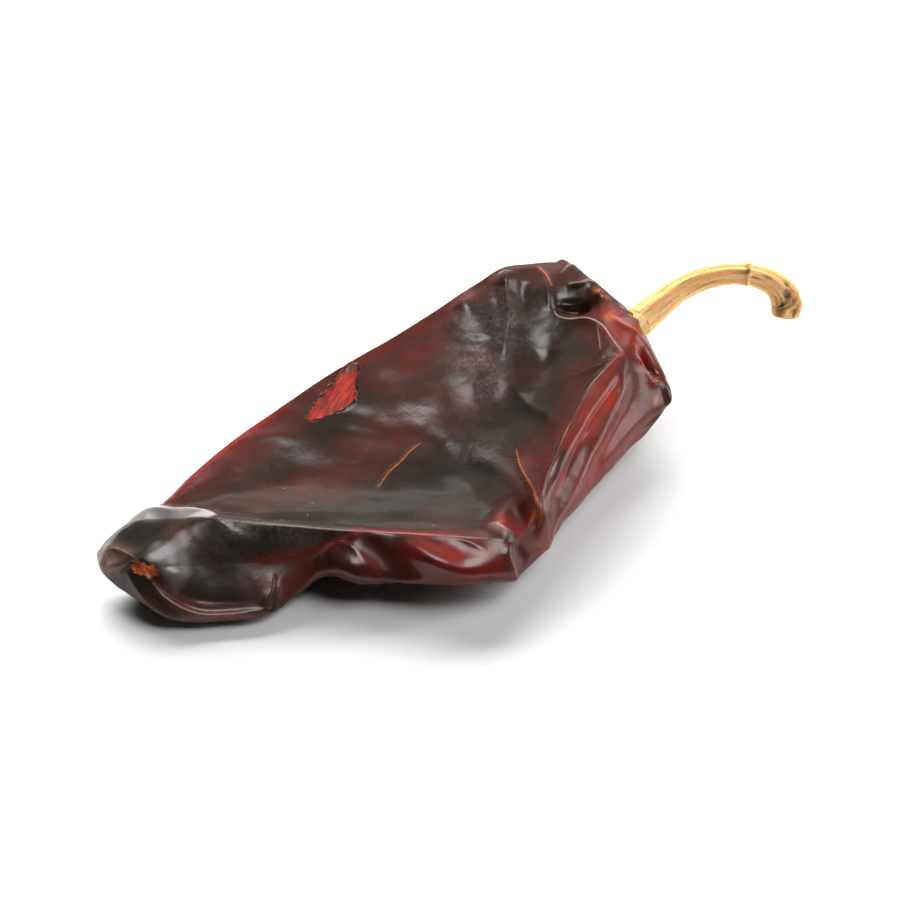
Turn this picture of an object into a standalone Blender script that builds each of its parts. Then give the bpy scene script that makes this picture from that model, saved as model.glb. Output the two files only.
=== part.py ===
"""A dried guajillo pepper lying on a flat surface: the collapsed pod, and the stem with its calyx.

The pod is a thin-walled fruit that dried flat. Its back edge is one long sharp fold, its middle has
caved in, and its front has rolled over into a tube, which ends in a pinched corner. +X runs from the
tip to the stem, +Y to the back fold, and +Z up. The pod rests on Z = 0. Lengths here are millimetres
until the last step, which puts the middle of the object over the origin and scales it to metres.
"""

import bmesh
import bpy
import numpy as np
from mathutils import Matrix
from mathutils.bvhtree import BVHTree

# Driving sizes: the middle of the object's box in plan, the meshes, and the fit of the two pieces.
MM = 0.001
MIDDLE = (15.9, -0.4)
POD_RINGS = 86
POD_AROUND = 54
STEM_RINGS = 38
STEM_AROUND = 20
SOCKET_GAP = 0.3
CALYX_TEETH = 6
CALYX_TOOTH = 0.3
FOLD_SAMPLES = 24

# Cross-sections of the pod, from the tip to the stem. Each names five places by (Y, Z): the back
# fold, the lowest line of the caved-in face, the crest of the front roll, the foremost line of
# the roll, and the line that lies on the table.
STATIONS = [
    # x, back fold, hollow, rim, front, sole
    (-58.3, (7.0, 5.6), (6.6, 5.9), (6.2, 5.9), (5.8, 5.2), (6.4, 5.0)),
    (-57.5, (9.4, 5.8), (7.0, 7.2), (4.8, 6.8), (3.6, 4.2), (6.0, 3.6)),
    (-56.0, (10.6, 6.3), (7.4, 8.2), (3.2, 8.0), (0.2, 3.6), (4.6, 2.2)),
    (-53.0, (11.2, 7.8), (7.8, 9.6), (1.4, 9.6), (-6.3, 2.7), (3.0, 0.8)),
    (-48.0, (11.6, 8.9), (8.2, 10.4), (1.2, 10.8), (-10.5, 1.8), (0.0, 0.0)),
    (-43.4, (12.1, 9.1), (9.0, 10.0), (2.8, 11.4), (-12.4, 1.8), (-3.0, -0.4)),
    (-35.0, (15.9, 9.3), (8.5, 8.8), (-0.2, 12.2), (-16.0, 2.2), (-4.0, -0.4)),
    (-28.0, (18.7, 9.5), (8.0, 7.8), (-5.3, 12.2), (-14.8, 3.0), (-4.0, -0.2)),
    (-21.0, (20.8, 9.9), (7.0, 7.0), (-9.2, 11.4), (-15.2, 5.6), (-3.0, 0.0)),
    (-13.0, (22.7, 10.3), (5.5, 6.4), (-15.2, 11.2), (-23.8, 5.6), (-3.0, -0.2)),
    (-3.0, (25.0, 11.0), (3.0, 6.0), (-22.3, 11.2), (-30.0, 6.0), (-5.0, -0.4)),
    (7.0, (26.5, 11.8), (0.0, 5.8), (-28.4, 11.0), (-32.0, 5.4), (-6.0, -0.4)),
    (14.0, (27.3, 12.3), (-3.0, 6.2), (-26.4, 11.5), (-28.5, 5.0), (-4.0, -0.4)),
    (25.0, (29.2, 13.1), (1.0, 7.4), (-19.6, 15.2), (-23.6, 5.0), (0.0, -0.5)),
    (36.0, (31.0, 14.3), (8.0, 9.6), (-12.4, 17.4), (-18.5, 5.4), (4.0, -0.4)),
    (42.2, (31.6, 15.0), (10.6, 11.4), (-8.4, 18.2), (-15.8, 5.8), (5.0, 0.0)),
    (47.0, (30.0, 15.0), (12.6, 13.2), (-4.6, 18.2), (-14.8, 7.0), (6.0, 0.8)),
    (51.5, (28.0, 15.0), (13.8, 15.0), (-1.0, 17.8), (-12.8, 8.6), (6.5, 2.6)),
    (54.4, (25.8, 14.9), (13.4, 15.9), (2.4, 16.8), (-10.4, 10.2), (7.0, 4.8)),
    (56.0, (17.0, 14.4), (12.0, 15.4), (5.0, 15.8), (-3.6, 11.2), (7.4, 7.0)),
    (57.3, (11.6, 12.6), (9.8, 13.2), (7.2, 13.4), (4.6, 11.4), (7.8, 9.8)),
    (57.8, (8.6, 11.6), (8.3, 11.8), (8.0, 11.8), (7.7, 11.5), (8.2, 11.3)),
]

# The folds pressed into the skin as it dried: height (a ridge above zero, a valley below), width,
# and the line of the fold.
FOLDS = [
    # The curled lip and the lobe at the tip.
    (0.9, 1.0, [(-56.5, 9.5, 6.0), (-54.2, 6.0, 9.2), (-52.5, 2.0, 9.6)]),
    (-0.9, 1.1, [(-57.3, 4.2, 4.5), (-55.5, 2.2, 7.8), (-52.8, 1.0, 9.5)]),
    (-1.2, 1.5, [(-53.4, 0.2, 8.9), (-51.5, -1.3, 9.0)]),
    (1.2, 1.1, [(-52.0, -2.5, 8.0), (-50.5, -5.5, 6.0), (-47.5, -8.5, 4.5), (-42.5, -12.0, 3.0),
                (-36.5, -15.5, 3.0)]),
    (-0.9, 1.5, [(-50.2, -3.0, 8.2), (-48.4, -6.2, 6.6), (-44.0, -9.4, 5.2), (-37.5, -13.2, 4.6)]),
    (0.8, 3.0, [(-45.0, 1.0, 11.0), (-44.5, -2.5, 9.0), (-47.5, -5.5, 6.6)]),
    (0.9, 0.9, [(-36.0, -15.5, 3.0), (-34.5, -14.0, 5.0), (-31.5, -12.0, 6.5)]),
    (-1.0, 1.1, [(-34.4, -16.0, 3.0), (-32.9, -14.2, 5.0), (-30.2, -12.6, 6.0)]),
    # The crest of the front roll and the trough behind it.
    (0.9, 1.4, [(-44.0, 10.0, 10.5), (-38.5, 3.0, 12.0), (-28.0, -5.5, 12.0), (-19.5, -10.0, 11.0),
                (-10.5, -16.5, 11.0), (-1.0, -24.0, 11.0), (7.5, -29.5, 10.5)]),
    (-0.9, 2.0, [(-40.5, 8.8, 10.4), (-35.4, 3.8, 10.6), (-26.2, -3.2, 11.0), (-17.6, -8.0, 10.0),
                 (-8.6, -14.0, 10.0), (1.0, -20.6, 10.0)]),
    # The pinch in the roll, then its two lobes.
    (-1.4, 2.4, [(-18.5, -12.5, 10.5), (-23.5, -11.5, 9.0), (-28.5, -11.5, 8.0), (-35.0, -9.0, 7.5)]),
    (1.4, 1.6, [(-22.5, -12.5, 8.0), (-19.0, -14.5, 8.5), (-16.5, -17.0, 7.0), (-15.0, -19.5, 5.0),
                (-13.6, -20.5, 3.5)]),
    (-1.3, 1.4, [(-14.6, -15.6, 10.5), (-13.4, -19.0, 8.5), (-12.6, -21.5, 3.5)]),
    (0.8, 3.0, [(-11.5, -19.0, 9.5), (-7.5, -23.5, 8.0), (1.0, -29.0, 7.5), (5.0, -31.0, 8.5)]),
    (1.0, 1.0, [(7.5, -29.5, 10.5), (6.0, -31.5, 8.5), (6.5, -31.0, 4.5)]),
    (-1.0, 1.1, [(9.2, -29.8, 9.5), (8.2, -31.0, 7.0), (8.8, -30.6, 4.0)]),
    # The pinched corner with its pocket.
    (-2.4, 2.6, [(9.0, -23.5, 10.5), (12.0, -24.0, 11.0), (11.6, -28.4, 10.5)]),
    (1.0, 1.3, [(6.5, -24.6, 10.5), (8.0, -28.0, 11.0)]),
    (0.9, 0.9, [(17.0, -20.5, 11.5), (15.5, -25.0, 12.0), (14.0, -28.5, 10.0)]),
    # The crest that climbs to the shoulder, and the folds on the face below it.
    (0.9, 1.2, [(14.0, -28.5, 9.0), (21.0, -23.5, 13.0), (31.0, -15.5, 16.5), (39.5, -9.5, 17.5),
                (45.5, -6.0, 18.0)]),
    (-1.2, 1.4, [(15.5, -28.0, 7.5), (22.5, -24.0, 11.0), (31.5, -18.0, 14.0), (39.5, -12.5, 15.5),
                 (43.0, -9.5, 16.5)]),
    (0.9, 1.2, [(14.5, -28.0, 5.0), (23.5, -24.0, 9.0), (33.0, -18.3, 12.2), (40.0, -13.8, 14.2),
                (45.0, -9.4, 15.0)]),
    (-0.8, 3.0, [(30.0, -20.0, 10.0), (37.0, -16.5, 10.5), (44.0, -13.0, 11.0)]),
    # The shoulder round the stem.
    (-1.3, 2.0, [(52.6, -3.5, 16.0), (52.0, -6.5, 14.5)]),
    (0.9, 1.2, [(49.5, -5.6, 16.0), (50.2, -8.8, 13.5), (53.6, -8.0, 12.0)]),
    (-1.0, 1.2, [(46.0, -13.5, 6.0), (49.0, -13.5, 8.0), (52.0, -12.0, 8.0)]),
    (1.2, 1.3, [(47.5, -3.5, 18.0), (49.5, 5.0, 16.0), (49.0, 11.0, 14.0), (46.0, 15.6, 13.0),
                (44.5, 19.0, 13.5)]),
    (-2.2, 2.1, [(46.6, 19.5, 14.0), (49.5, 17.4, 14.5), (52.5, 14.6, 15.5)]),
    (0.9, 1.0, [(54.4, 23.8, 15.5), (50.6, 23.0, 15.5)]),
    (0.9, 1.0, [(54.6, 17.2, 16.0), (50.0, 20.6, 14.8)]),
    # The folds of the caved-in face.
    (1.2, 1.6, [(42.0, 30.5, 14.5), (38.5, 24.0, 14.0), (35.5, 17.0, 11.5)]),
    (-1.2, 2.4, [(38.6, 28.6, 14.5), (35.0, 23.0, 13.0), (32.6, 17.6, 11.0)]),
    (0.8, 1.6, [(45.5, -5.0, 18.0), (42.0, -3.0, 16.0), (39.0, -1.0, 13.5)]),
    (-1.0, 3.2, [(40.0, 9.6, 11.0), (35.4, 5.4, 9.5)]),
    (1.0, 1.6, [(30.5, 8.5, 9.0), (29.5, 4.5, 8.5), (30.0, -0.5, 9.5), (29.5, -7.0, 12.0)]),
    (0.4, 1.4, [(-7.6, 19.4, 10.0), (-2.6, 16.8, 10.0), (1.6, 12.8, 9.0), (6.0, 8.0, 7.5)]),
    (-0.5, 1.5, [(-9.6, 17.4, 10.0), (-5.0, 14.6, 9.6), (-1.4, 10.6, 8.6), (3.0, 6.0, 7.0)]),
    (-1.4, 2.8, [(10.0, 1.0, 6.5), (10.5, -5.0, 6.0), (9.0, -13.5, 7.5), (8.0, -18.0, 9.0)]),
    (1.1, 2.0, [(17.0, -2.0, 6.5), (17.5, -10.0, 8.0), (17.0, -18.0, 11.0)]),
    (0.8, 0.9, [(21.0, -9.0, 9.0), (19.5, -13.0, 9.5), (18.5, -17.5, 11.0), (17.5, -22.0, 12.0)]),
    (0.7, 2.6, [(26.0, 17.5, 11.5), (27.5, 12.0, 10.0), (23.0, 8.0, 9.0)]),
    # The torn strip under the back fold, where the skin has lifted off.
    (-0.7, 2.2, [(-7.5, 18.6, 10.0), (-1.0, 20.6, 10.6), (3.4, 23.6, 11.2)]),
]

# The stem's middle line, from its root inside the pod to the hooked end, with its radius there.
STEM_LINE = [
    ((52.0, 6.6, 9.6), 2.3),
    ((55.6, 7.2, 10.9), 2.9),
    ((56.5, 7.4, 11.2), 3.4),
    ((57.7, 7.6, 11.6), 3.3),
    ((59.4, 7.9, 12.2), 3.0),
    ((63.5, 8.4, 13.5), 2.7),
    ((68.6, 8.8, 15.0), 2.35),
    ((76.5, 6.6, 17.0), 2.1),
    ((82.6, 3.2, 16.6), 2.2),
    ((86.2, 0.2, 14.2), 2.6),
    ((87.2, -1.6, 11.2), 3.1),
    ((86.4, -2.6, 8.9), 2.8),
]
CALYX = (55.8, 59.0)


def smooth_curve(knots, values, where):
    """Values read off a smooth curve through the knots: cubic spans whose slopes come from the
    neighbouring knots."""
    knots = np.asarray(knots, float)
    values = np.asarray(values, float)
    steps = np.diff(knots)
    rates = np.diff(values, axis=0) / steps[:, None]
    slopes = np.empty_like(values)
    slopes[0] = rates[0]
    slopes[-1] = rates[-1]
    before = steps[:-1, None]
    after = steps[1:, None]
    slopes[1:-1] = (rates[:-1] * after + rates[1:] * before) / (before + after)
    span = np.clip(np.searchsorted(knots, where, side="right") - 1, 0, len(knots) - 2)
    width = steps[span][:, None]
    t = ((where - knots[span])[:, None]) / width
    start = values[span]
    end = values[span + 1]
    return (
        start * (1 + 2 * t) * (1 - t) ** 2
        + end * t * t * (3 - 2 * t)
        + slopes[span] * width * t * (1 - t) ** 2
        - slopes[span + 1] * width * t * t * (1 - t)
    )


def reach_along(points):
    """How far along a line each of its points is."""
    steps = np.linalg.norm(np.diff(points, axis=0), axis=1)
    return np.concatenate([[0.0], np.cumsum(steps)])


def section_knots(named):
    """The eleven (Y, Z) points of one cross-section, from the back fold over the top, round the
    front roll and back underneath."""
    back, hollow, rim, front, sole = named.reshape(5, 2)
    size = np.linalg.norm(back - front) / 60.0
    up = np.array([0.0, size])
    out = np.array([-size, 0.0])
    upper_back = back + 0.4 * (hollow - back) + 0.9 * up
    inner_bank = hollow + 0.55 * (rim - hollow) - 0.6 * up
    cheek = rim + 0.5 * (front - rim) + 1.4 * out + 0.9 * up
    tuck = front + 0.3 * (sole - front) - 1.3 * up
    under_back = sole + 0.5 * (back - sole) - 2.2 * up
    return np.array(
        [back, upper_back, hollow, inner_bank, rim, cheek, front, tuck, sole, under_back, back]
    )


def plain_skin(rings, around):
    """Rows of points of the pod's skin before it is folded, one row for each ring from the tip to
    the stem end. Each row starts and ends on the back fold."""
    xs = np.array([station[0] for station in STATIONS])
    named = np.array([np.ravel(station[1:]) for station in STATIONS])
    turn = np.linspace(0, np.pi, rings)
    part_way = 0.5 * turn / np.pi + 0.25 * (1 - np.cos(turn))
    ring_x = xs[0] + (xs[-1] - xs[0]) * part_way
    rows = []
    for x, row in zip(ring_x, smooth_curve(xs, named, ring_x)):
        knots = section_knots(row)
        reach = np.concatenate([[0.0], np.cumsum(np.sqrt(np.diff(reach_along(knots)) + 1e-6))])
        yz = smooth_curve(reach, knots, np.linspace(0, reach[-1], around + 1))
        rows.append(np.column_stack([np.full(len(yz), x), yz]))
    return np.array(rows)


def skin_normals(rows):
    """Outward directions at the points of the skin."""
    along = np.gradient(rows, axis=0)
    across = np.gradient(rows, axis=1)
    normals = np.cross(across, along)
    normals /= np.maximum(np.linalg.norm(normals, axis=2), 1e-9)[..., None]
    return normals


def skin_tree(rows):
    """The skin's faces, for finding the place on it that is nearest to a point."""
    across = rows.shape[1]
    faces = [
        (i * across + j, i * across + j + 1, (i + 1) * across + j + 1, (i + 1) * across + j)
        for i in range(rows.shape[0] - 1)
        for j in range(across - 1)
    ]
    return BVHTree.FromPolygons(rows.reshape(-1, 3).tolist(), faces)


def fold_profile(rows, tree, points, width):
    """How strongly one fold acts at each point of the skin: 1 on its line, less to its sides and
    towards its ends."""
    reach = reach_along(np.array(points))
    part_way = np.linspace(0, 1, FOLD_SAMPLES)
    line = smooth_curve(reach, points, part_way * reach[-1])
    line = np.array([tree.find_nearest(point)[0] for point in line])
    flat = rows.reshape(-1, 3)
    distance = np.full(len(flat), np.inf)
    fade = np.zeros(len(flat))
    for start, end, where in zip(line[:-1], line[1:], part_way[:-1] + 0.5 / FOLD_SAMPLES):
        step = end - start
        t = np.clip((flat - start) @ step / max(step @ step, 1e-9), 0, 1)
        gap = np.linalg.norm(flat - start - t[:, None] * step, axis=1)
        nearer = gap < distance
        distance[nearer] = gap[nearer]
        fade[nearer] = min(1.0, 4.0 * where * (1 - where) + 0.35)
    strength = fade * np.exp(-((distance / width) ** 2) * 0.8)
    return strength.reshape(rows.shape[:2])


def folded_skin(rings, around):
    """The pod's skin with its folds. The faces that lie on the table are pressed flat."""
    rows = plain_skin(rings, around)
    tree = skin_tree(rows)
    normals = skin_normals(rows)
    lift = np.zeros(rows.shape[:2])
    for height, width, points in FOLDS:
        lift += height * fold_profile(rows, tree, points, width)
    edge = np.linspace(0, 1, around + 1)
    lift *= np.minimum(1.0, 14.0 * np.minimum(edge, 1 - edge) + 0.25)[None, :]
    rows = rows + lift[..., None] * normals
    rows[:, -1] = rows[:, 0]
    for end in (0, -1):
        rows[end] = rows[end].mean(axis=0)
    rows[..., 2] = np.maximum(rows[..., 2], 0.0)
    return rows


def stem_skin(rings, around, swell=0.0):
    """Rows of points of the stem's skin, from the root to the hooked end, with the calyx as a
    toothed collar. A swell moves the skin outward, for the cutter of the socket."""
    line = np.array([point for point, radius in STEM_LINE])
    radius = np.array([[radius] for point, radius in STEM_LINE])
    reach = reach_along(line)
    where = np.linspace(0, reach[-1], rings)
    middle = smooth_curve(reach, line, where)
    size = smooth_curve(reach, radius, where) + swell
    ahead = np.gradient(middle, axis=0)
    ahead /= np.linalg.norm(ahead, axis=1)[:, None]
    side = np.cross(ahead, [0.0, 0.0, 1.0])
    side /= np.linalg.norm(side, axis=1)[:, None]
    top = np.cross(side, ahead)
    angle = np.linspace(0, 2 * np.pi, around + 1)
    in_calyx = (middle[:, 0] > CALYX[0]) & (middle[:, 0] < CALYX[1])
    tooth = np.where(in_calyx, CALYX_TOOTH, 0.0)[:, None] * np.cos(CALYX_TEETH * angle)
    size = size + tooth
    rows = (
        middle[:, None]
        + (size * np.cos(angle))[..., None] * side[:, None]
        + (size * np.sin(angle))[..., None] * top[:, None]
    )
    ends = []
    for place, way in ((0, -0.3 - swell), (-1, 1.0 + swell)):
        pole = middle[place] + ahead[place] * way
        ends.append(np.repeat(pole[None, None], around + 1, axis=1))
    return np.concatenate([ends[0], rows, ends[1]])


def clear_scene():
    for thing in list(bpy.data.objects):
        bpy.data.objects.remove(thing)


def material(name, colour, roughness):
    made = bpy.data.materials.new(name)
    made.use_nodes = True
    shader = made.node_tree.nodes["Principled BSDF"]
    shader.inputs["Base Color"].default_value = (*colour, 1.0)
    shader.inputs["Roughness"].default_value = roughness
    shader.inputs["Metallic"].default_value = 0.0
    made.diffuse_color = (*colour, 1.0)
    return made


def sheet_object(name, rows):
    """A closed object from rows of points: a grid of faces is rolled up, its seam and its two ends
    merged."""
    rings, across = rows.shape[:2]
    bm = bmesh.new()
    bmesh.ops.create_grid(bm, x_segments=rings - 1, y_segments=across - 1, size=1.0)
    for v in bm.verts:
        i = round((v.co.x + 1) / 2 * (rings - 1))
        j = round((v.co.y + 1) / 2 * (across - 1))
        v.co = rows[i, j]
    bmesh.ops.remove_doubles(bm, verts=bm.verts, dist=0.01)
    bmesh.ops.recalc_face_normals(bm, faces=bm.faces)
    bmesh.ops.triangulate(bm, faces=bm.faces)
    for face in bm.faces:
        face.smooth = True
    mesh = bpy.data.meshes.new(name)
    bm.to_mesh(mesh)
    bm.free()
    thing = bpy.data.objects.new(name, mesh)
    bpy.context.scene.collection.objects.link(thing)
    return thing


def make_stem():
    stem = sheet_object("stem", stem_skin(STEM_RINGS, STEM_AROUND))
    stem.data.materials.append(material("dry_stem", (0.62, 0.44, 0.17), 0.6))
    return stem


def make_pod():
    """The pod, with a socket cut for the root of the stem and the calyx."""
    pod = sheet_object("pod", folded_skin(POD_RINGS, POD_AROUND))
    pod.data.materials.append(material("pod_skin", (0.06, 0.014, 0.012), 0.3))
    cutter = sheet_object("socket_cutter", stem_skin(STEM_RINGS, STEM_AROUND, SOCKET_GAP))
    cutter.hide_render = True
    cutter.display_type = "WIRE"
    socket = pod.modifiers.new("socket", "BOOLEAN")
    socket.operation = "DIFFERENCE"
    socket.solver = "EXACT"
    socket.object = cutter
    return pod, cutter


def main():
    clear_scene()
    stem = make_stem()
    pod, cutter = make_pod()
    to_origin = Matrix.Translation((-MIDDLE[0], -MIDDLE[1], 0.0))
    for thing in (pod, stem, cutter):
        thing.data.transform(Matrix.Scale(MM, 4) @ to_origin)


main()
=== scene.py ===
# %% [markdown]
# # A dried guajillo pepper
# A dried pod is one thin skin that lost its water: it collapsed, folded along sharp lines and turned
# nearly black, with dark red where a fold is thin enough to let light through. This lesson starts
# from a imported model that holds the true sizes, and dresses its two nodes, the pod and the stem.

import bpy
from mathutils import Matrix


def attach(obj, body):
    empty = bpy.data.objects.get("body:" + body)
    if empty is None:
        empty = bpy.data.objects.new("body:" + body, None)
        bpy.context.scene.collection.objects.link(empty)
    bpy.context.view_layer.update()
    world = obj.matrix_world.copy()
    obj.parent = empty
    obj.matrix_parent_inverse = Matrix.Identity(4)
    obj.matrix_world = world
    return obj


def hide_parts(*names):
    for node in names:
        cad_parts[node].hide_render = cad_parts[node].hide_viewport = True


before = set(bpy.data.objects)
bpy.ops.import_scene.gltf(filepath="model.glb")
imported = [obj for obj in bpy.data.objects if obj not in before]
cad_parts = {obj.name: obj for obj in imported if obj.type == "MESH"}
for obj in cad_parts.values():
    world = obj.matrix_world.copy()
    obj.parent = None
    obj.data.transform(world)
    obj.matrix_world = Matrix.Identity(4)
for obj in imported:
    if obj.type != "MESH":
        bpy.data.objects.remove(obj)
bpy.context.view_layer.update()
print("nodes to dress:", sorted(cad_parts))

# %% Tools of the lesson
import math

import bmesh
import bpy
import numpy as np
from mathutils import Vector, noise
from mathutils.bvhtree import BVHTree

MM = 0.001
MIDDLE = (15.9, -0.4)
print("lengths below are millimetres in the pod's own frame, whose middle is", MIDDLE)

# %% [markdown]
# ## A smooth curve through a few points
# Every long line here, such as the pod's outline or a fold, is given by a few points measured off the
# photograph. A Bezier curve object would need handles for each of them. A cubic span between
# neighbouring points, whose slopes come from the points around it, needs none.

# %% Smooth curves
def smooth_curve(knots, values, where):
    knots = np.asarray(knots, float)
    values = np.asarray(values, float)
    steps = np.diff(knots)
    rates = np.diff(values, axis=0) / steps[:, None]
    slopes = np.empty_like(values)
    slopes[0] = rates[0]
    slopes[-1] = rates[-1]
    before = steps[:-1, None]
    after = steps[1:, None]
    slopes[1:-1] = (rates[:-1] * after + rates[1:] * before) / (before + after)
    span = np.clip(np.searchsorted(knots, where, side="right") - 1, 0, len(knots) - 2)
    width = steps[span][:, None]
    t = (where - knots[span])[:, None] / width
    return (
        values[span] * (1 + 2 * t) * (1 - t) ** 2
        + values[span + 1] * t * t * (3 - 2 * t)
        + slopes[span] * width * t * (1 - t) ** 2
        - slopes[span + 1] * width * t * t * (1 - t)
    )


def reach_along(points):
    steps = np.linalg.norm(np.diff(points, axis=0), axis=1)
    return np.concatenate([[0.0], np.cumsum(steps)])


print("middle of a bend:", smooth_curve([0, 1, 2], [[0, 0], [1, 1], [2, 0]], np.array([1.5]))[0])

# %% [markdown]
# ## The collapsed pod
# The pod dried flat on its side. Its back edge is one straight fold, its upper face caved in, and its
# front rolled over into a tube. Twenty-two cross-sections from tip to stem hold that form, each with
# five named places: the back fold, the hollow, the crest of the roll, its foremost line and the line
# that lies on the table. They are the same ones that the solid was built from.

# %% Cross-sections of the pod
STATIONS = [
    # x, back fold, hollow, rim, front, sole
    (-58.3, (7, 5.6), (6.6, 5.9), (6.2, 5.9), (5.8, 5.2), (6.4, 5)),
    (-57.5, (9.4, 5.8), (7, 7.2), (4.8, 6.8), (3.6, 4.2), (6, 3.6)),
    (-56, (10.6, 6.3), (7.4, 8.2), (3.2, 8), (0.2, 3.6), (4.6, 2.2)),
    (-53, (11.2, 7.8), (7.8, 9.6), (1.4, 9.6), (-6.3, 2.7), (3, 0.8)),
    (-48, (11.6, 8.9), (8.2, 10.4), (1.2, 10.8), (-10.5, 1.8), (0, 0)),
    (-43.4, (12.1, 9.1), (9, 10), (2.8, 11.4), (-12.4, 1.8), (-3, -0.4)),
    (-35, (15.9, 9.3), (8.5, 8.8), (-0.2, 12.2), (-16, 2.2), (-4, -0.4)),
    (-28, (18.7, 9.5), (8, 7.8), (-5.3, 12.2), (-14.8, 3), (-4, -0.2)),
    (-21, (20.8, 9.9), (7, 7), (-9.2, 11.4), (-15.2, 5.6), (-3, 0)),
    (-13, (22.7, 10.3), (5.5, 6.4), (-15.2, 11.2), (-23.8, 5.6), (-3, -0.2)),
    (-3, (25, 11), (3, 6), (-22.3, 11.2), (-30, 6), (-5, -0.4)),
    (7, (26.5, 11.8), (0, 5.8), (-28.4, 11), (-32, 5.4), (-6, -0.4)),
    (14, (27.3, 12.3), (-3, 6.2), (-26.4, 11.5), (-28.5, 5), (-4, -0.4)),
    (25, (29.2, 13.1), (1, 7.4), (-19.6, 15.2), (-23.6, 5), (0, -0.5)),
    (36, (31, 14.3), (8, 9.6), (-12.4, 17.4), (-18.5, 5.4), (4, -0.4)),
    (42.2, (31.6, 15), (10.6, 11.4), (-8.4, 18.2), (-15.8, 5.8), (5, 0)),
    (47, (30, 15), (12.6, 13.2), (-4.6, 18.2), (-14.8, 7), (6, 0.8)),
    (51.5, (28, 15), (13.8, 15), (-1, 17.8), (-12.8, 8.6), (6.5, 2.6)),
    (54.4, (25.8, 14.9), (13.4, 15.9), (2.4, 16.8), (-10.4, 10.2), (7, 4.8)),
    (56, (17, 14.4), (12, 15.4), (5, 15.8), (-3.6, 11.2), (7.4, 7)),
    (57.3, (11.6, 12.6), (9.8, 13.2), (7.2, 13.4), (4.6, 11.4), (7.8, 9.8)),
    (57.8, (8.6, 11.6), (8.3, 11.8), (8, 11.8), (7.7, 11.5), (8.2, 11.3)),
]
print("cross-sections:", len(STATIONS))

# %% [markdown]
# Between the five named places a section needs five more, so that it bends as skin does. A section
# is read off as an open line that starts and ends on the back fold, which keeps that fold sharp.

# %% One cross-section
def section_knots(named):
    back, hollow, rim, front, sole = named.reshape(5, 2)
    size = np.linalg.norm(back - front) / 60.0
    up = np.array([0.0, size])
    out = np.array([-size, 0.0])
    upper_back = back + 0.4 * (hollow - back) + 0.9 * up
    inner_bank = hollow + 0.55 * (rim - hollow) - 0.6 * up
    cheek = rim + 0.5 * (front - rim) + 1.4 * out + 0.9 * up
    tuck = front + 0.3 * (sole - front) - 1.3 * up
    under_back = sole + 0.5 * (back - sole) - 2.2 * up
    return np.array(
        [back, upper_back, hollow, inner_bank, rim, cheek, front, tuck, sole, under_back, back]
    )


print("points of a section:", len(section_knots(np.ravel(STATIONS[9][1:]))))

# %% [markdown]
# The skin is a fine grid of points, rolled up from sections. Its rings crowd together at the tip and
# at the stem, where the outline turns fast.

# %% The plain skin
RINGS = 330
AROUND = 290
UPPER_SHARE = 0.72


def plain_skin(rings, around):
    xs = np.array([station[0] for station in STATIONS])
    named = np.array([np.ravel(station[1:]) for station in STATIONS])
    turn = np.linspace(0, np.pi, rings)
    part_way = 0.5 * turn / np.pi + 0.25 * (1 - np.cos(turn))
    ring_x = xs[0] + (xs[-1] - xs[0]) * part_way
    rows = []
    for x, row in zip(ring_x, smooth_curve(xs, named, ring_x)):
        knots = section_knots(row)
        reach = np.concatenate([[0.0], np.cumsum(np.sqrt(np.diff(reach_along(knots)) + 1e-6))])
        upper = round(around * UPPER_SHARE)
        steps = np.concatenate([
            np.linspace(0, reach[6], upper + 1)[:-1], np.linspace(reach[6], reach[-1], around - upper + 1)
        ])
        yz = smooth_curve(reach, knots, steps)
        rows.append(np.column_stack([np.full(len(yz), x), yz]))
    return np.array(rows)


def outward(rows):
    normals = np.cross(np.gradient(rows, axis=1), np.gradient(rows, axis=0))
    return normals / np.maximum(np.linalg.norm(normals, axis=2), 1e-9)[..., None]


skin = plain_skin(RINGS, AROUND)
skin_out = outward(skin)
print("points of the skin:", skin.shape[0] * skin.shape[1])

# %% [markdown]
# A grid of faces carries those points. bmesh.ops.create_grid makes the faces, and each vertex moves
# to its point. The search tree over it finds the place on the skin nearest to a fold's point.

# %% A sheet of faces
def sheet(rows, layers=None):
    rings, across = rows.shape[:2]
    bm = bmesh.new()
    bmesh.ops.create_grid(bm, x_segments=rings - 1, y_segments=across - 1, size=1.0)
    painted = [(bm.verts.layers.float.new(name), values) for name, values in (layers or {}).items()]
    for v in bm.verts:
        i = round((v.co.x + 1) / 2 * (rings - 1))
        j = round((v.co.y + 1) / 2 * (across - 1))
        v.co = rows[i, j]
        for layer, values in painted:
            v[layer] = values[i * across + j]
    return bm


bm = sheet(skin)
skin_tree = BVHTree.FromBMesh(bm)
bm.free()
print("faces of the sheet:", (RINGS - 1) * AROUND)

# %% [markdown]
# ## How near is each point to a fold?
# A fold is a line on the skin. Each point near it needs its distance, which side it is on and how far
# along it lies, so that the fold can be steep on one side and fade out at its ends. A sculpting brush
# would do the same by hand, but this can be repeated.

# %% Distance to a line on the skin
LINE_SAMPLES = 28


def on_skin(points):
    reach = reach_along(np.array(points, float))
    line = smooth_curve(reach, points, np.linspace(0, reach[-1], LINE_SAMPLES))
    return np.array([skin_tree.find_nearest(point)[0] for point in line])


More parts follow.
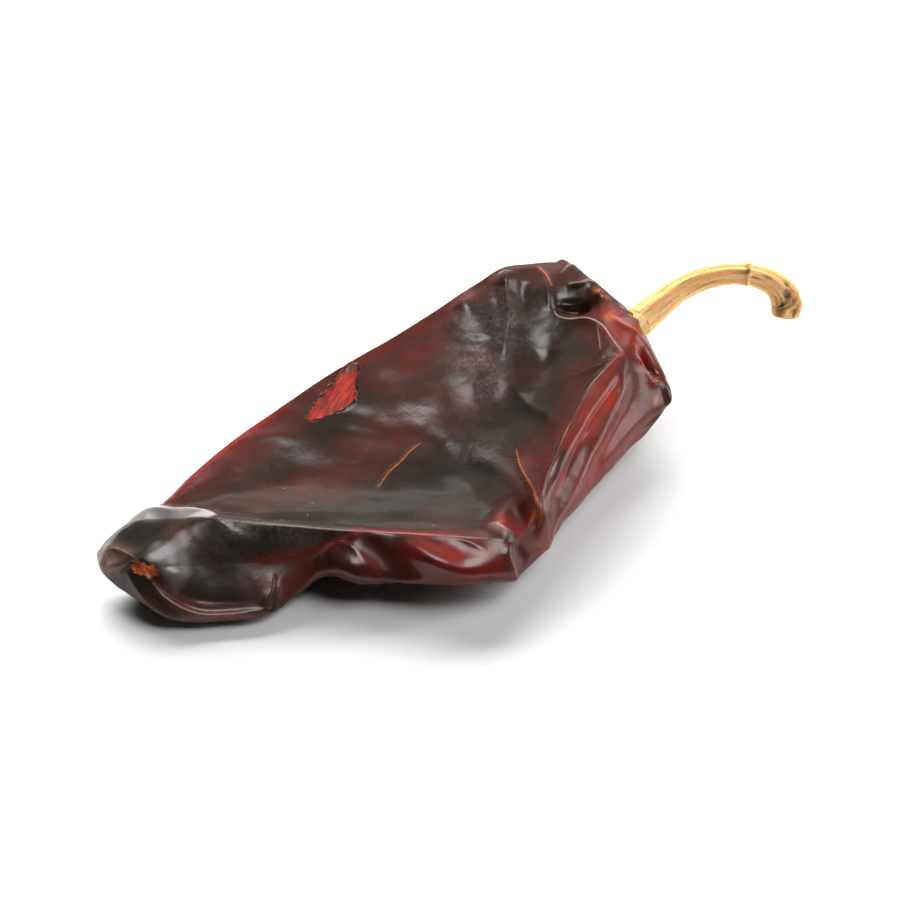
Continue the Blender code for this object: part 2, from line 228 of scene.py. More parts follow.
def beside(points, far):
    """Indices of the skin's points within that distance of a line, their signed distances (positive
    to the left of its direction) and how far along it they are, from 0 to 1."""
    line = on_skin(points)
    flat = skin.reshape(-1, 3)
    low = line.min(axis=0) - far
    high = line.max(axis=0) + far
    near = np.nonzero(np.all((flat > low) & (flat < high), axis=1))[0]
    place = flat[near]
    start = line[:-1]
    step = line[1:] - start
    length = np.maximum((step**2).sum(axis=1), 1e-9)
    offset = place[:, None] - start[None]
    t = np.clip((offset * step).sum(axis=2) / length, 0, 1)
    gap = offset - t[..., None] * step
    distance = np.linalg.norm(gap, axis=2)
    best = distance.argmin(axis=1)
    every = np.arange(len(near))
    left = np.cross(skin_out.reshape(-1, 3)[near], step[best])
    side = np.where((gap[every, best] * left).sum(axis=1) >= 0, 1.0, -1.0)
    along = (best + t[every, best]) / len(step)
    return near, side * distance[every, best], along


def ends(along, tail):
    """1 at the middle of a line, and less towards its two ends, where it is the tail's value."""
    return np.clip(4 * along * (1 - along) * (1 - tail) + tail, 0, 1)


print("points within 3 mm of the back fold:", len(beside([(-43, 12, 9), (40, 31, 15)], 3)[0]))

# %% [markdown]
# ## Creases
# Dry skin folds along crisp lines: a crest or a groove with flanks that hollow out to both sides. An
# exponential gives that section, and a separate width for each side makes one layer lap over the
# next. Seen along its line from outside, a crease has its left and its right width. Five of these
# lines have names, because they are also drawn in a colour further on.

# %% The creases of the pod
LIP = [(-52, -2.6, 7.4), (-51.5, -4.5, 6), (-49.5, -7.5, 4), (-46.5, -10.5, 3), (-42, -12.5, 2.5),
       (-36.2, -15.2, 3)]
CORNER_EDGE = [(17, -21.6, 12), (16, -24.5, 12), (15, -26.5, 11.5), (13.5, -28, 10)]
CORNER_FOLD = [(21.5, -8, 8.5), (20.5, -10.5, 9), (19.5, -13, 9.5), (18, -18.5, 11), (17, -22.5, 12)]
SHOULDER_NICK = [(49, 7.5, 15), (47, 4, 15.5), (45.5, 1, 15.5)]
BACK_NICK = [(48, 28.5, 15), (48, 27, 15), (48, 25.5, 15), (47.4, 22, 15)]
CREASES = [
    # height, left width, right width, points of the line
    # The bright facet, the curled flap and the lip at the tip.
    (1.7, 0.9, 2, [(-50.6, 10.6, 9), (-47.7, 10.4, 9.5), (-45.2, 10, 9.5), (-42.8, 8.2, 10),
        (-39.7, 6, 9.8), (-37.6, 3.7, 10.5), (-36.4, 1, 11.5)]),
    (-0.55, 1.8, 0.7, [(-52, 10, 9), (-49.5, 9.8, 10), (-46.5, 8.5, 10.5), (-44, 7, 10.4),
        (-40.5, 4.6, 11), (-38, 1.8, 12)]),
    (0.7, 1.3, 0.9, [(-56.5, 10, 6.5), (-55, 6.5, 9), (-53.5, 3.5, 9.5), (-52.6, 1, 9.5)]),
    (-0.8, 0.8, 0.8, [(-57.5, 3.5, 4.5), (-56, 2.5, 7.5), (-54, 2, 9), (-53, 1, 9.5)]),
    (0.8, 0.25, 1.4, LIP),
    (-0.15, 1.2, 0.6, [(-50.6, -3.2, 7.6), (-48.4, -6.4, 5.6), (-45.2, -9, 4.4), (-41.4, -11, 4),
        (-37, -13.6, 4.2)]),
    (0.5, 0.8, 0.8, [(-55, 1, 7.5), (-54.5, -1.5, 5.5), (-53.5, -4, 4), (-51, -8, 2.5)]),
    (0.4, 0.4, 0.5, [(-32, -11.5, 6.5), (-33.5, -13.5, 5), (-35.3, -14.5, 4), (-36.6, -15.6, 2.6)]),
    (-0.4, 0.4, 0.4, [(-31.6, -12, 6.2), (-33.3, -14.2, 4.6), (-35, -15.4, 3.2)]),
    (0.4, 0.4, 0.4, [(-31.4, -12.8, 5.8), (-33, -14.8, 4.3), (-34.6, -16, 2.6)]),
    # The crest of the front roll and the trough behind it.
    (0.5, 0.7, 1.1, [(-41.5, 5.2, 11), (-37.5, 1.5, 12), (-33.5, -1.5, 12), (-28, -5.6, 12),
        (-23, -8.7, 11.5), (-17, -12.7, 11), (-11, -17.2, 11), (-5, -21.2, 11), (0, -24.6, 11),
        (6, -28.7, 11)]),
    (-0.7, 2.2, 0.8, [(-33.4, 1, 11), (-28, -2.4, 11), (-22, -6.2, 10.6), (-15.6, -10.6, 10),
        (-9.4, -15.2, 10), (-3.6, -19, 10), (1.6, -22.2, 10.2)]),
    # The pinch and the two lobes of the roll.
    (-0.3, 0.9, 1.6, [(-37, -7, 8.4), (-32, -9.5, 8), (-28.5, -10.5, 8), (-23, -12, 8)]),
    (-0.9, 0.6, 0.8, [(-23.4, -12, 8), (-20, -12.5, 9), (-17, -13.8, 10.5), (-14.6, -14.6, 11)]),
    (0.45, 0.5, 0.8, [(-22.5, -12, 9), (-20, -13, 10), (-18, -15, 10), (-17, -17, 9), (-16, -19.5, 7.5),
        (-15.5, -21, 5.5), (-14.5, -21.5, 5)]),
    (0.3, 0.4, 0.4, [(-21, -14, 5), (-19, -15, 4.6), (-17.6, -16.6, 4.4), (-15.5, -18.6, 3.6),
        (-14, -20.5, 3.4)]),
    (0.35, 0.5, 0.6, [(-1.4, -23.8, 11), (1, -26.5, 10.5), (2.5, -28.6, 9.7)]),
    (0.8, 0.5, 1.7, [(7, -29.5, 10.5), (6, -30.5, 9), (6, -31.5, 6), (6.5, -31, 4.5)]),
    (-1, 0.8, 0.5, [(8.8, -29, 10.6), (8.2, -30.6, 9), (8.2, -31.2, 7.2)]),
    # The pinched corner and its pocket.
    (0.5, 0.8, 0.8, [(8.2, -31.4, 6.5), (10, -30.5, 7.5), (13, -29, 7), (14.5, -28, 6)]),
    (1.2, 0.5, 1.4, [(5.4, -23.4, 10.5), (7, -24.8, 10.5), (7.7, -27, 11), (8.5, -29, 11)]),
    (0.5, 0.5, 1.5, [(13.5, -18.4, 9.2), (11, -21, 10), (9.5, -23.6, 10.5)]),
    (1, 1.2, 0.4, CORNER_EDGE),
    (0.8, 1.4, 0.4, CORNER_FOLD),
    # The crest that climbs to the shoulder, and the folds on the face below it.
    (1.3, 0.8, 1.3, [(14, -28.5, 9), (15.5, -26, 11.5), (18.5, -23.4, 13), (20.4, -21.4, 13.6),
        (23.5, -19.6, 14.5), (27.5, -15.8, 15.5), (33, -12, 16.5), (37.5, -8.4, 16.8), (42, -6.2, 17.5),
        (46, -4.8, 18.4)]),
    (-1.1, 1.2, 1.1, [(18.5, -25, 12), (22, -23, 13), (25.5, -20.5, 14.5), (29.5, -17.5, 15.5),
        (34, -14.5, 16.5), (38.5, -11.8, 17), (43, -8.6, 17)]),
    (1.2, 0.9, 1.7, [(14.5, -28, 5.8), (17, -27, 8), (20, -25.6, 9.5), (23.5, -24.2, 10.4),
        (29, -20.6, 12.6), (32.5, -18, 13.8), (36.5, -15, 15), (39.5, -13, 15.6), (42.5, -11, 15.8),
        (45.4, -8, 16.8)]),
    (0.5, 0.5, 0.6, [(14.5, -28.5, 6.4), (15.5, -28, 9), (16.5, -26.8, 10.8), (18, -25.2, 12)]),
    (0.5, 0.6, 0.6, [(46.5, -5, 18.2), (45, -7.5, 18), (43.2, -10, 16.6)]),
    # The shoulder round the stem.
    (1.1, 0.8, 1.3, [(45.2, 18, 13.6), (45, 16, 13), (46, 14.5, 13), (48, 12.5, 13.5), (49, 10.5, 14.5),
        (49.5, 7.5, 15), (48.5, 1.5, 16.5), (47, -4, 18)]),
    (0.3, 0.3, 0.3, SHOULDER_NICK),
    (0.7, 1.2, 1.2, [(46, -5, 18.5), (43, -4, 17.5), (41, -2.5, 15), (38.5, -0.5, 13.5)]),
    (0.7, 0.8, 0.8, [(47.2, 24.5, 15), (46, 21, 14.2), (44.6, 18, 13.2)]),
    (0.45, 0.6, 0.6, [(50.5, 24, 15.5), (53, 24.5, 15.5), (54.3, 24.8, 15)]),
    (0.9, 0.6, 0.9, [(50.4, 20.8, 15), (51.5, 19.6, 15.5), (53, 19, 16), (54.4, 18.4, 15.9)]),
    (0.7, 0.6, 0.6, [(53, 14.5, 15.5), (54.8, 15.5, 16)]),
    (0.3, 0.4, 0.4, BACK_NICK),
    (0.7, 0.35, 0.45, [(46.6, 18.2, 13.6), (49, 16.4, 14.2), (51, 15.4, 15)]),
    (0.9, 0.9, 0.9, [(52.5, 10, 15.5), (52, 7.5, 16), (52, 4.5, 16.5), (52, 2, 17.5),
        (53.2, -1.2, 16.6)]),
    (-2.6, 1.3, 1.8, [(52.4, -2.6, 16.6), (52.6, -5.4, 15), (53.4, -8.2, 12.8)]),
    (0.9, 0.6, 1.2, [(51, -4.4, 16.5), (50.3, -6, 15.8), (50.4, -7.6, 14.5), (51, -9, 13),
        (53.2, -9.6, 12.2)]),
    (-0.9, 0.8, 0.8, [(44.5, -15.3, 7.5), (47, -14.5, 8), (50.5, -13.2, 8.5)]),
    # The folds of the caved-in face.
    (1.2, 1.5, 1.1, [(41.5, 30.4, 15), (39.5, 26, 14), (37, 21, 13), (34.5, 18, 12), (31.5, 14, 10.5)]),
    (0.8, 1.3, 1.6, [(33, 12.6, 10.4), (31, 9, 9.2), (29.6, 6, 8.6), (29.5, 2, 8.4), (29.8, -2.5, 9.8),
        (30, -6.5, 11.6), (29, -10.5, 13.5)]),
    (0.06, 0.8, 0.5, [(-8.6, 17.9, 10), (-4.5, 16, 9.5), (-2, 14, 9), (0, 12, 8.5), (2, 10, 8),
        (4, 7.5, 7.5), (6, 5, 6.5), (8, 3, 6.5)]),
    (-0.5, 0.8, 0.8, [(4.4, -23, 10.5), (7.5, -20, 9.5), (10.5, -18, 9), (16, -18.5, 10)]),
    # The underside and the stem end, which the photograph hides.
    (-0.8, 1.6, 1.6, [(-44, 9, 5.6), (-20, 14, 5.4), (2, 18, 6), (26, 23, 8.2)]),
    (-0.7, 1.2, 1.6, [(44, 12, 3.4), (28, 12, 3), (10, 8.6, 2.2)]),
    (0.6, 1.4, 1.4, [(52, 24, 11), (40, 22, 8), (24, 15, 4.6)]),
    (-0.7, 1.2, 1.2, [(-8, -18, 1), (8, -22, 1.4), (22, -17, 1.6), (36, -9, 1.6)]),
]
print("creases:", len(CREASES))

# %% [markdown]
# ## Swells
# Between its creases the skin also swells and sinks gently. A bell curve gives those broad forms.

# %% The swells of the pod
SWELLS = [
    # height, width, points of the line
    (0.9, 2.6, [(-47.4, -2.6, 8.4), (-48.2, -4.4, 7.2), (-49.2, -5.2, 6.4)]),
    (-0.5, 2.8, [(-19, -12, 10), (-24, -11.6, 9), (-29, -11.5, 8), (-35, -9, 7.5)]),
    (0.7, 2.6, [(-9, -21.5, 10.5), (-7.5, -23.5, 10), (-3, -28, 9), (2, -30.5, 9), (4, -31.5, 8.5)]),
    (1.4, 2.1, [(-9, -20.5, 10.5), (-7, -24.4, 9.4), (-3, -29, 8), (2, -31.5, 7.6), (5, -32.6, 6.4)]),
    (1.1, 1.7, [(-22, -13.5, 8), (-20, -15, 8), (-17.8, -17, 7.4), (-16.2, -19.8, 6)]),
    (1.1, 1.8, [(5.5, -32.4, 5), (8.5, -32, 5.5), (11, -30.6, 5.5), (14, -29, 5.5), (18.5, -26.6, 5)]),
    (2.2, 2, [(-23, -13.6, 5.6), (-20.5, -16, 5.8), (-18, -18.6, 5.6), (-16.4, -21, 5)]),
    (-0.7, 1.6, [(-15.6, -16, 10.5), (-14.2, -19, 9.4), (-13.6, -22, 7.4)]),
    (-3, 2.2, [(12.8, -20.6, 10), (12, -24.5, 11), (10.8, -28, 11)]),
    (-0.8, 2.4, [(29.5, -21, 10), (34.5, -18, 11), (39, -15.4, 11.8), (43.6, -12.2, 12.8)]),
    (0.6, 1.8, [(35, -19.4, 8.5), (40, -16, 9.6), (44.6, -13.6, 10)]),
    (-2, 1.5, [(46.2, 17.6, 13.6), (48.8, 15.4, 14.2), (51.2, 13.6, 15)]),
    (-1.4, 2, [(42.6, 27, 14.6), (40.8, 22.5, 14), (38.6, 18, 12.6)]),
    (-0.9, 2.4, [(37, 26, 13.6), (34.6, 21, 12.8), (31.8, 16.4, 11.4)]),
    (-1, 2.8, [(40, 11, 11), (37, 7, 10.5), (34.5, 3.6, 10)]),
    (-0.2, 1.8, [(-9, 15.8, 9.5), (-5.5, 13.8, 9), (-1.5, 10.2, 8), (2.5, 6, 7)]),
    (-0.8, 2.6, [(10.8, 2, 6.5), (10.8, -4.5, 6), (9.8, -11, 7), (8.5, -16, 8)]),
    (0.9, 1.8, [(15, -3, 6.5), (16.5, -10, 7.5), (16.6, -17, 9.6)]),
    (0.9, 7, [(-38, 9.5, 9), (-22, 9, 7.5), (-8, 5, 6.2), (2, 1, 6)]),
    (0.25, 1.5, [(-24, 19.5, 9.6), (-16, 17, 9.4), (-14, 15, 9)]),
    (0.5, 2.2, [(26.5, 17.5, 11.4), (25, 12, 10), (23.6, 8, 9)]),
    (1.6, 6, [(-6, 5, 6.2), (8, 0, 6), (14, -2, 6.2)]),
    (-0.9, 3, [(27, 17, 11), (29, 20.5, 12)]),
    (-0.55, 3.4, [(4, 19.6, 11), (9, 17.4, 10.6), (14, 14.8, 10.2)]),
    (0.35, 2.6, [(20, 14.4, 10.4), (22.6, 12.6, 10), (25, 11, 9.5)]),
    (-0.4, 2.2, [(-6, 19, 10.4), (-2, 15.8, 9.8), (2.4, 12, 9)]),
    (0.7, 2.6, [(29, 27.5, 13.4), (33.5, 28.5, 14)]),
    (1.1, 2.5, [(42.5, 30, 15), (39.5, 27, 14.4)]),
    (0.5, 2.2, [(31.5, 28.5, 13.6), (29.5, 22, 12.4)]),
    (0.5, 2, [(22, 12, 9.4), (21.6, 7, 8.2)]),
]
print("swells:", len(SWELLS))

# %% Press the creases and swells into the skin
CREST_ROUNDING = 0.22
CREASE_REACH = 5
CREASE_TAIL = 0.25
SWELL_REACH = 3
SWELL_TAIL = 0.4
lift = np.zeros(skin.shape[0] * skin.shape[1])
for height, left, right, points in CREASES:
    near, gap, along = beside(points, CREASE_REACH * max(left, right))
    width = np.where(gap > 0, left, right)
    rounded = np.sqrt(gap**2 + CREST_ROUNDING**2) - CREST_ROUNDING
    lift[near] += height * np.exp(-rounded / width) * ends(along, CREASE_TAIL)
for height, width, points in SWELLS:
    near, gap, along = beside(points, SWELL_REACH * width)
    lift[near] += height * np.exp(-((gap / width) ** 2)) * ends(along, SWELL_TAIL)
print("deepest and highest fold:", round(lift.min(), 2), round(lift.max(), 2))

# %% [markdown]
# ## The torn strip and the hole at the tip
# A strip of skin has lifted off below the back fold, and a small hole gapes at the tip. Both show the
# orange-red inner layer, with the fibres that run through it. A cut through the mesh would be more
# than they need: a shallow step with a crisp rim, as deep as the skin is thick, looks the same.

# %% Tear the skin
TEAR = [(-9.2, 18.5), (-7.6, 19.8), (-5.5, 21.2), (-1.0, 23.2), (3.0, 26.2), (5.2, 25.0), (4.4, 23.2),
        (2.6, 20.8), (1.4, 18.2), (-1.6, 17.2), (-5.6, 17.4), (-8.6, 17.5)]
TEAR_DEPTH = 0.5
TEAR_BORDER = 0.35
TEAR_WAVES = ((0.25, 2.7, 1.0), (0.15, 5.1, 0.0))
RIM_HEIGHT = 0.18
RIM_WIDTH = 0.5
HOLE = [(-53.6, 0.7, 9.0), (-52.6, -0.4, 8.7), (-51.4, -1.6, 8.5)]
HOLE_WIDTH = 1.0
HOLE_DEPTH = 0.5
HOLE_BORDER = 0.3
HOLE_WAVES = ((0.22, 4.3, 0.0), (0.18, 6.1, 1.0))
OUTSIDE = -9.0


def inside_outline(x, y, outline):
    """How far inside a closed outline each point is: positive inside, negative outside."""
    inside = np.zeros(x.shape, bool)
    distance = np.full(x.shape, np.inf)
    for (ax, ay), (bx, by) in zip(outline, outline[1:] + outline[:1]):
        crosses = (ay > y) != (by > y)
        at = ax + (y - ay) * (bx - ax) / (by - ay if by != ay else 1e-9)
        inside ^= crosses & (x < at)
        length_squared = (bx - ax) ** 2 + (by - ay) ** 2
        t = np.clip(((x - ax) * (bx - ax) + (y - ay) * (by - ay)) / length_squared, 0, 1)
        distance = np.minimum(distance, np.hypot(x - ax - t * (bx - ax), y - ay - t * (by - ay)))
    return np.where(inside, distance, -distance)


def waver(points, waves):
    """How far a border wanders: one wave along X and one along Y, by height, rate and start."""
    (high, rate, start), (side_high, side_rate, side_start) = waves
    along_x = high * np.sin(points[:, 0] * rate + start)
    return along_x + side_high * np.sin(points[:, 1] * side_rate + side_start)


def filled(within, border):
    """1 inside, 0 outside, and an even slope between them as wide as the border."""
    return np.clip(within / border + 0.5, 0, 1)


flat = skin.reshape(-1, 3)
upper = skin_out.reshape(-1, 3)[:, 2] > 0
tear_in = np.where(upper, inside_outline(flat[:, 0], flat[:, 1], TEAR), OUTSIDE)
torn = filled(tear_in + waver(flat, TEAR_WAVES), TEAR_BORDER)
lift -= TEAR_DEPTH * torn
lift += RIM_HEIGHT * np.exp(-((tear_in / RIM_WIDTH) ** 2)) * (1 - torn)
near, gap, along = beside(HOLE, 4 * HOLE_WIDTH)
hole_in = np.full(len(flat), OUTSIDE)
hole_in[near] = HOLE_WIDTH - np.abs(gap) + waver(flat[near], HOLE_WAVES)
hole = filled(hole_in, HOLE_BORDER)
lift -= HOLE_DEPTH * hole
print("torn points:", int((torn > 0.5).sum()), "points in the hole:", int((hole > 0.5).sum()))

# %% [markdown]
# ## Crumple
# Dry skin is never quite smooth. Fractal noise from mathutils.noise, read at each point, gives faint
# dents a few millimetres apart, and a ridged version gives the finest wrinkles. Along the back fold
# everything is lifted less, so that the fold stays one clean line.

# %% Crumple the skin
DENT_SIZE = 9.0
DENT_HEIGHT = 0.28
WRINKLE_SIZE = 3.2
WRINKLE_DEPTH = 0.07
BACK_FOLD_LIFT = 0.3
BACK_FOLD_SLOPE = 30
dents = np.array([noise.fractal(Vector(p) / DENT_SIZE, 1.0, 2.0, 2) for p in flat.tolist()])
wrinkles = np.array([noise.noise(Vector(p) / WRINKLE_SIZE) for p in flat.tolist()])
lift += DENT_HEIGHT * dents
lift -= WRINKLE_DEPTH * np.abs(wrinkles)
way_round = np.linspace(0, 1, AROUND + 1)
from_back_fold = np.minimum(way_round, 1 - way_round)
quiet = np.minimum(1.0, BACK_FOLD_SLOPE * from_back_fold + BACK_FOLD_LIFT)
lift = lift.reshape(skin.shape[:2]) * quiet[None, :]
print("dents between", round(dents.min(), 2), "and", round(dents.max(), 2))

# %% [markdown]
# The pod's end is drawn together round the stem in small pleats. What would sink through the table
# is pressed flat on it, as the real skin is where it carries the weight.

# %% Finish the form
STEM_ROOT = (57.0, 7.4, 11.4)
PLEATS = 9
PLEAT_HEIGHT = 0.45
PLEAT_REACH = 6.5
PLEATS_START = 3
PLEATS_PAST_X = 53
folded = skin + lift[..., None] * skin_out
around_stem = np.arctan2(folded[..., 2] - STEM_ROOT[2], folded[..., 1] - STEM_ROOT[1])
from_stem = np.hypot(folded[..., 2] - STEM_ROOT[2], folded[..., 1] - STEM_ROOT[1])
gathered = np.exp(-((from_stem / PLEAT_REACH) ** 2)) * (folded[..., 0] > PLEATS_PAST_X)
starting = np.minimum(from_stem / PLEATS_START, 1)
folded[..., 0] += PLEAT_HEIGHT * gathered * np.cos(PLEATS * around_stem) * starting
folded[:, -1] = folded[:, 0]
for end in (0, -1):
    folded[end] = folded[end].mean(axis=0)
folded[..., 2] = np.maximum(folded[..., 2], 0.0)
print("lowest and highest point:", folded[..., 2].min(), round(folded[..., 2].max(), 2))

# %% [markdown]
# ## Where the skin is red, bright, pale or matt
# The colour follows the form: thin folded skin lets light through and looks dark red, the sharpest
# lines are drawn pale, and torn places are orange. Some marks paint light and shade: the red on the
# front roll's lobes also paints the light on their front faces, two whitish places are painted
# highlights, a grey bloom also paints a soft sheen, the hole's bright orange also paints a glow, and
# the pocket and a groove are darkened as painted shade. Each of these is painted along lines on the
# skin into a float attribute of the mesh, which the material reads. An image would need a
# photograph, and noise alone wouldn't know where the folds are.

# %% The painted marks
RED = [
    # amount, width, points of the line
    (1, 4, [(-42.5, 12.5, 9), (-31.5, 17.5, 9.5), (-19.5, 21, 10), (-9, 23.4, 10.4)]),
    (0.75, 4, [(-9, 23.4, 10.4), (7, 26.5, 12), (17, 27.5, 12.5), (31, 30, 13.5), (41, 31.5, 15)]),
    (0.45, 5, [(42, 31, 15), (48, 28, 15), (54, 24, 15)]),
    (0.5, 3.8, [(-38, 10.5, 9), (-28, 14.6, 9), (-18, 17.6, 9), (-10, 19, 9.5)]),
    (0.65, 4, [(6, 20, 11), (14, 21, 11.6), (24, 23, 12)]),
    (0.45, 3.4, [(14, 13, 9.4), (18, 10, 8.8), (22, 6, 8.4)]),
    (1, 9, [(17, -26, 6), (28, -21, 8), (38, -16, 10), (47, -11, 11)]),
    # The next three marks, on the front roll's lobes, are redder than the skin's own colour: they also
    # paint the light on the lobes' front faces.
    (1, 5.4, [(-12, -20, 8), (-3, -27, 8), (5, -31.5, 7)]),
    (0.9, 3, [(-17, -15.5, 10), (-15, -19, 8), (-14, -22.5, 6)]),
    (0.8, 3, [(-20, -14.6, 6), (-16, -18, 5)]),
    (0.8, 1.5, [(-35, -8.4, 8), (-28.5, -10.5, 8), (-21, -12, 8.6), (-14, -14.4, 11)]),
    (0.8, 3.4, [(-35, -12, 5), (-27, -13, 5), (-22, -13, 6)]),
    (0.25, 2, [(-55, -1, 5), (-51, -7, 3)]),
    (0.6, 2, [(-48, -9.6, 2.6), (-37, -15.4, 2.2)]),
    (1, 6, [(53, 12, 15), (52.5, 4, 16), (52, -4, 16), (50, -10, 13)]),
    (0.35, 4, [(44, 2, 14), (40, -3, 14), (33, -8, 13)]),
    (0.9, 1.4, [(-51.6, -3.6, 6.8), (-49.6, -6.4, 4.8), (-46.4, -9.6, 3.6), (-42, -12, 3)]),
    (0.9, 3.6, [(8, -24, 10.5), (13, -24, 11), (11, -29, 9)]),
    (0.5, 3, [(22, -10, 9), (20, -18, 11)]),
    (0.35, 2.6, [(-44, 3, 11), (-41, 0, 11)]),
    (0.6, 7, [(-40, 2, 0.5), (-10, 6, 2), (20, 12, 4), (48, 10, 3)]),
]
BRIGHT = [
    (0.45, 2.4, [(10.5, -30.5, 6), (14, -28.8, 7), (18, -26.6, 8)]),
    (1, 1.9, [(27, -18.6, 14.8), (32, -15.4, 16), (37, -12.4, 16.6), (43, -8.6, 17.2)]),
    (0.35, 7, [(22, -25, 7), (31, -20, 9), (40, -15.5, 10), (46, -12, 10)]),
    (0.5, 3, [(52.5, 2, 16.8), (52, -5, 15.6), (50, -9, 13)]),
    # On lobe 3's front this bright red also paints the light on it.
    (0.3, 4, [(-9, -21, 9), (-3, -27, 9), (4, -31, 8)]),
    (0.45, 1.2, [(18.5, -24.8, 12), (22, -22.8, 13), (27, -18.6, 14.8)]),
    (0.8, 1, [(-44, 12.3, 9), (-40, 13.8, 9)]),
    (0.5, 0.7, [(-40, 13.8, 9), (-24, 19.8, 9.6), (-10, 23.4, 10.4)]),
    (0.5, 1.2, [(52.5, 11, 15.6), (52.6, 7, 16), (51, 3, 16.6)]),
    (0.6, 0.8, [(-22.5, -12, 8.2), (-17, -13.6, 10.4)]),
    (0.4, 0.8, [(-16, -13.4, 11), (-8, -18.8, 11), (0, -24.2, 11)]),
    (0.4, 1.6, [(10, -21.5, 10), (9, -24.5, 10.5)]),
    (0.4, 1, [(47, -4, 18.2), (43, -7, 17.6), (36, -10.4, 17)]),
]
PALE = [
    (0.9, 2.6, [(-57.4, 7.2, 6), (-56.6, 5.4, 7.4), (-55.4, 4.2, 8.6)]),
    (0.8, 0.9, [(6.6, -24.4, 10.6), (7.8, -27.6, 11)]),
    (0.22, 2, [(-55.5, -0.5, 4.5), (-53.5, -4.5, 3.2), (-50.5, -8, 2.2), (-45.5, -11.2, 1.8),
        (-38.5, -15, 2)]),
    (0.35, 1.6, [(-47, 10.4, 9.8), (-42, 8.4, 10), (-39, 5.4, 10.6)]),
]
ORANGE = [
    (0.6, 0.8, [(51.6, 9, 15.6), (51.4, 6, 16)]),
    (0.7, 0.5, [(50.6, -11.2, 11.4), (49.6, -12.4, 10.6)]),
    (0.7, 0.45, [(-16.4, -13.6, 11), (-15.6, -14.2, 11)]),
    (0.6, 0.5, [(7, -24.2, 10.5), (8.6, -23.4, 10.6)]),
    (0.5, 0.6, [(53.6, 16.2, 15.8), (54.4, 13, 15.8)]),
    (0.5, 0.7, [(14.2, -25.5, 11.6), (13, -27.4, 10.6)]),
]
# Painted highlights: the shine patch on the tip's lobe and the bright facet behind the rim, as whitish
# colour with a crisp border.
PAINTED_HIGHLIGHTS = [
    # amount, width of the border, outline in plan
    (0.24, 1.6, [(-51.2, 1.2), (-48.5, 2.6), (-46.4, 1.2), (-44.6, 0), (-44.2, -2), (-45.2, -4),
        (-47.2, -5.2), (-49, -5.8), (-49.6, -4.2), (-49.8, -2.4)]),
    (0.72, 0.5, [(-52, 10.4), (-49, 11.2), (-45, 12.4), (-42.2, 9.8), (-39.2, 7.2), (-37.2, 4.6),
        (-36.6, 1.6), (-38, 1.9), (-40.6, 4.8), (-44, 7.2), (-46.6, 8.6), (-49.6, 9.9)]),
]
# Matt places: rougher skin with a grey bloom, which also paints the soft broad sheen of the folds there.
MATT = [
    (0.5, 2.4, [(-38, -0.5, 11.6), (-32, -4.6, 11.6), (-26, -9, 11), (-20.5, -12.5, 10)]),
    (0.3, 4, [(-42, -2, 10.4), (-38, -6, 8.6), (-35, -9.5, 7)]),
    (0.5, 3, [(44, 25, 14.2), (42, 19, 13.2), (40, 12, 12)]),
    (0.8, 3.6, [(41, 28, 14.6), (38, 23.5, 13.6), (34.5, 18.6, 12.4), (31, 14, 10.8)]),
    (1, 4.5, [(24, 18, 11.5), (26, 12, 10), (22, 8, 9)]),
    (0.8, 4, [(31.5, 27, 13.4), (30, 22, 12.6), (27, 15, 11.4)]),
    (0.5, 4, [(16, 0, 6.5), (16, -8, 7.5)]),
]
# Painted shade: the pocket at the corner, a groove between the roll's lobes and two pits in the tip's
# hole are darkened to a deep red where shade falls, and made rougher.
SHADED_RECESSES = [
    (1, 0.45, [(-53.6, 0.8, 9), (-53, 0.2, 8.9)]),
    (0.9, 0.40, [(-52, -1.3, 8.6), (-51.5, -1.8, 8.5)]),
    (1, 2.6, [(13.4, -19.5, 9.6), (12.4, -24, 10.5), (11, -28.6, 10), (11.5, -30.5, 7)]),
    (0.9, 0.8, [(10.4, -28.6, 10.6), (9.2, -30.4, 9.8), (8.6, -31.2, 8.4), (8.2, -31.6, 6.5)]),
    (0.8, 1.2, [(-16, -15.4, 10.5), (-14.5, -18, 9.6), (-13.5, -20.6, 8.5), (-13.6, -23, 6)]),
]
print("painted areas:", len(RED) + len(BRIGHT) + len(PALE) + len(ORANGE) + len(MATT) + len(SHADED_RECESSES))

# %% [markdown]
# Some lines on the skin are finer than its grid. For these the mesh holds the distance from the line,
# counted in the line's own width and negative on one side. A distance changes evenly from point to
# point, so the material can draw the line itself, far thinner than the grid.

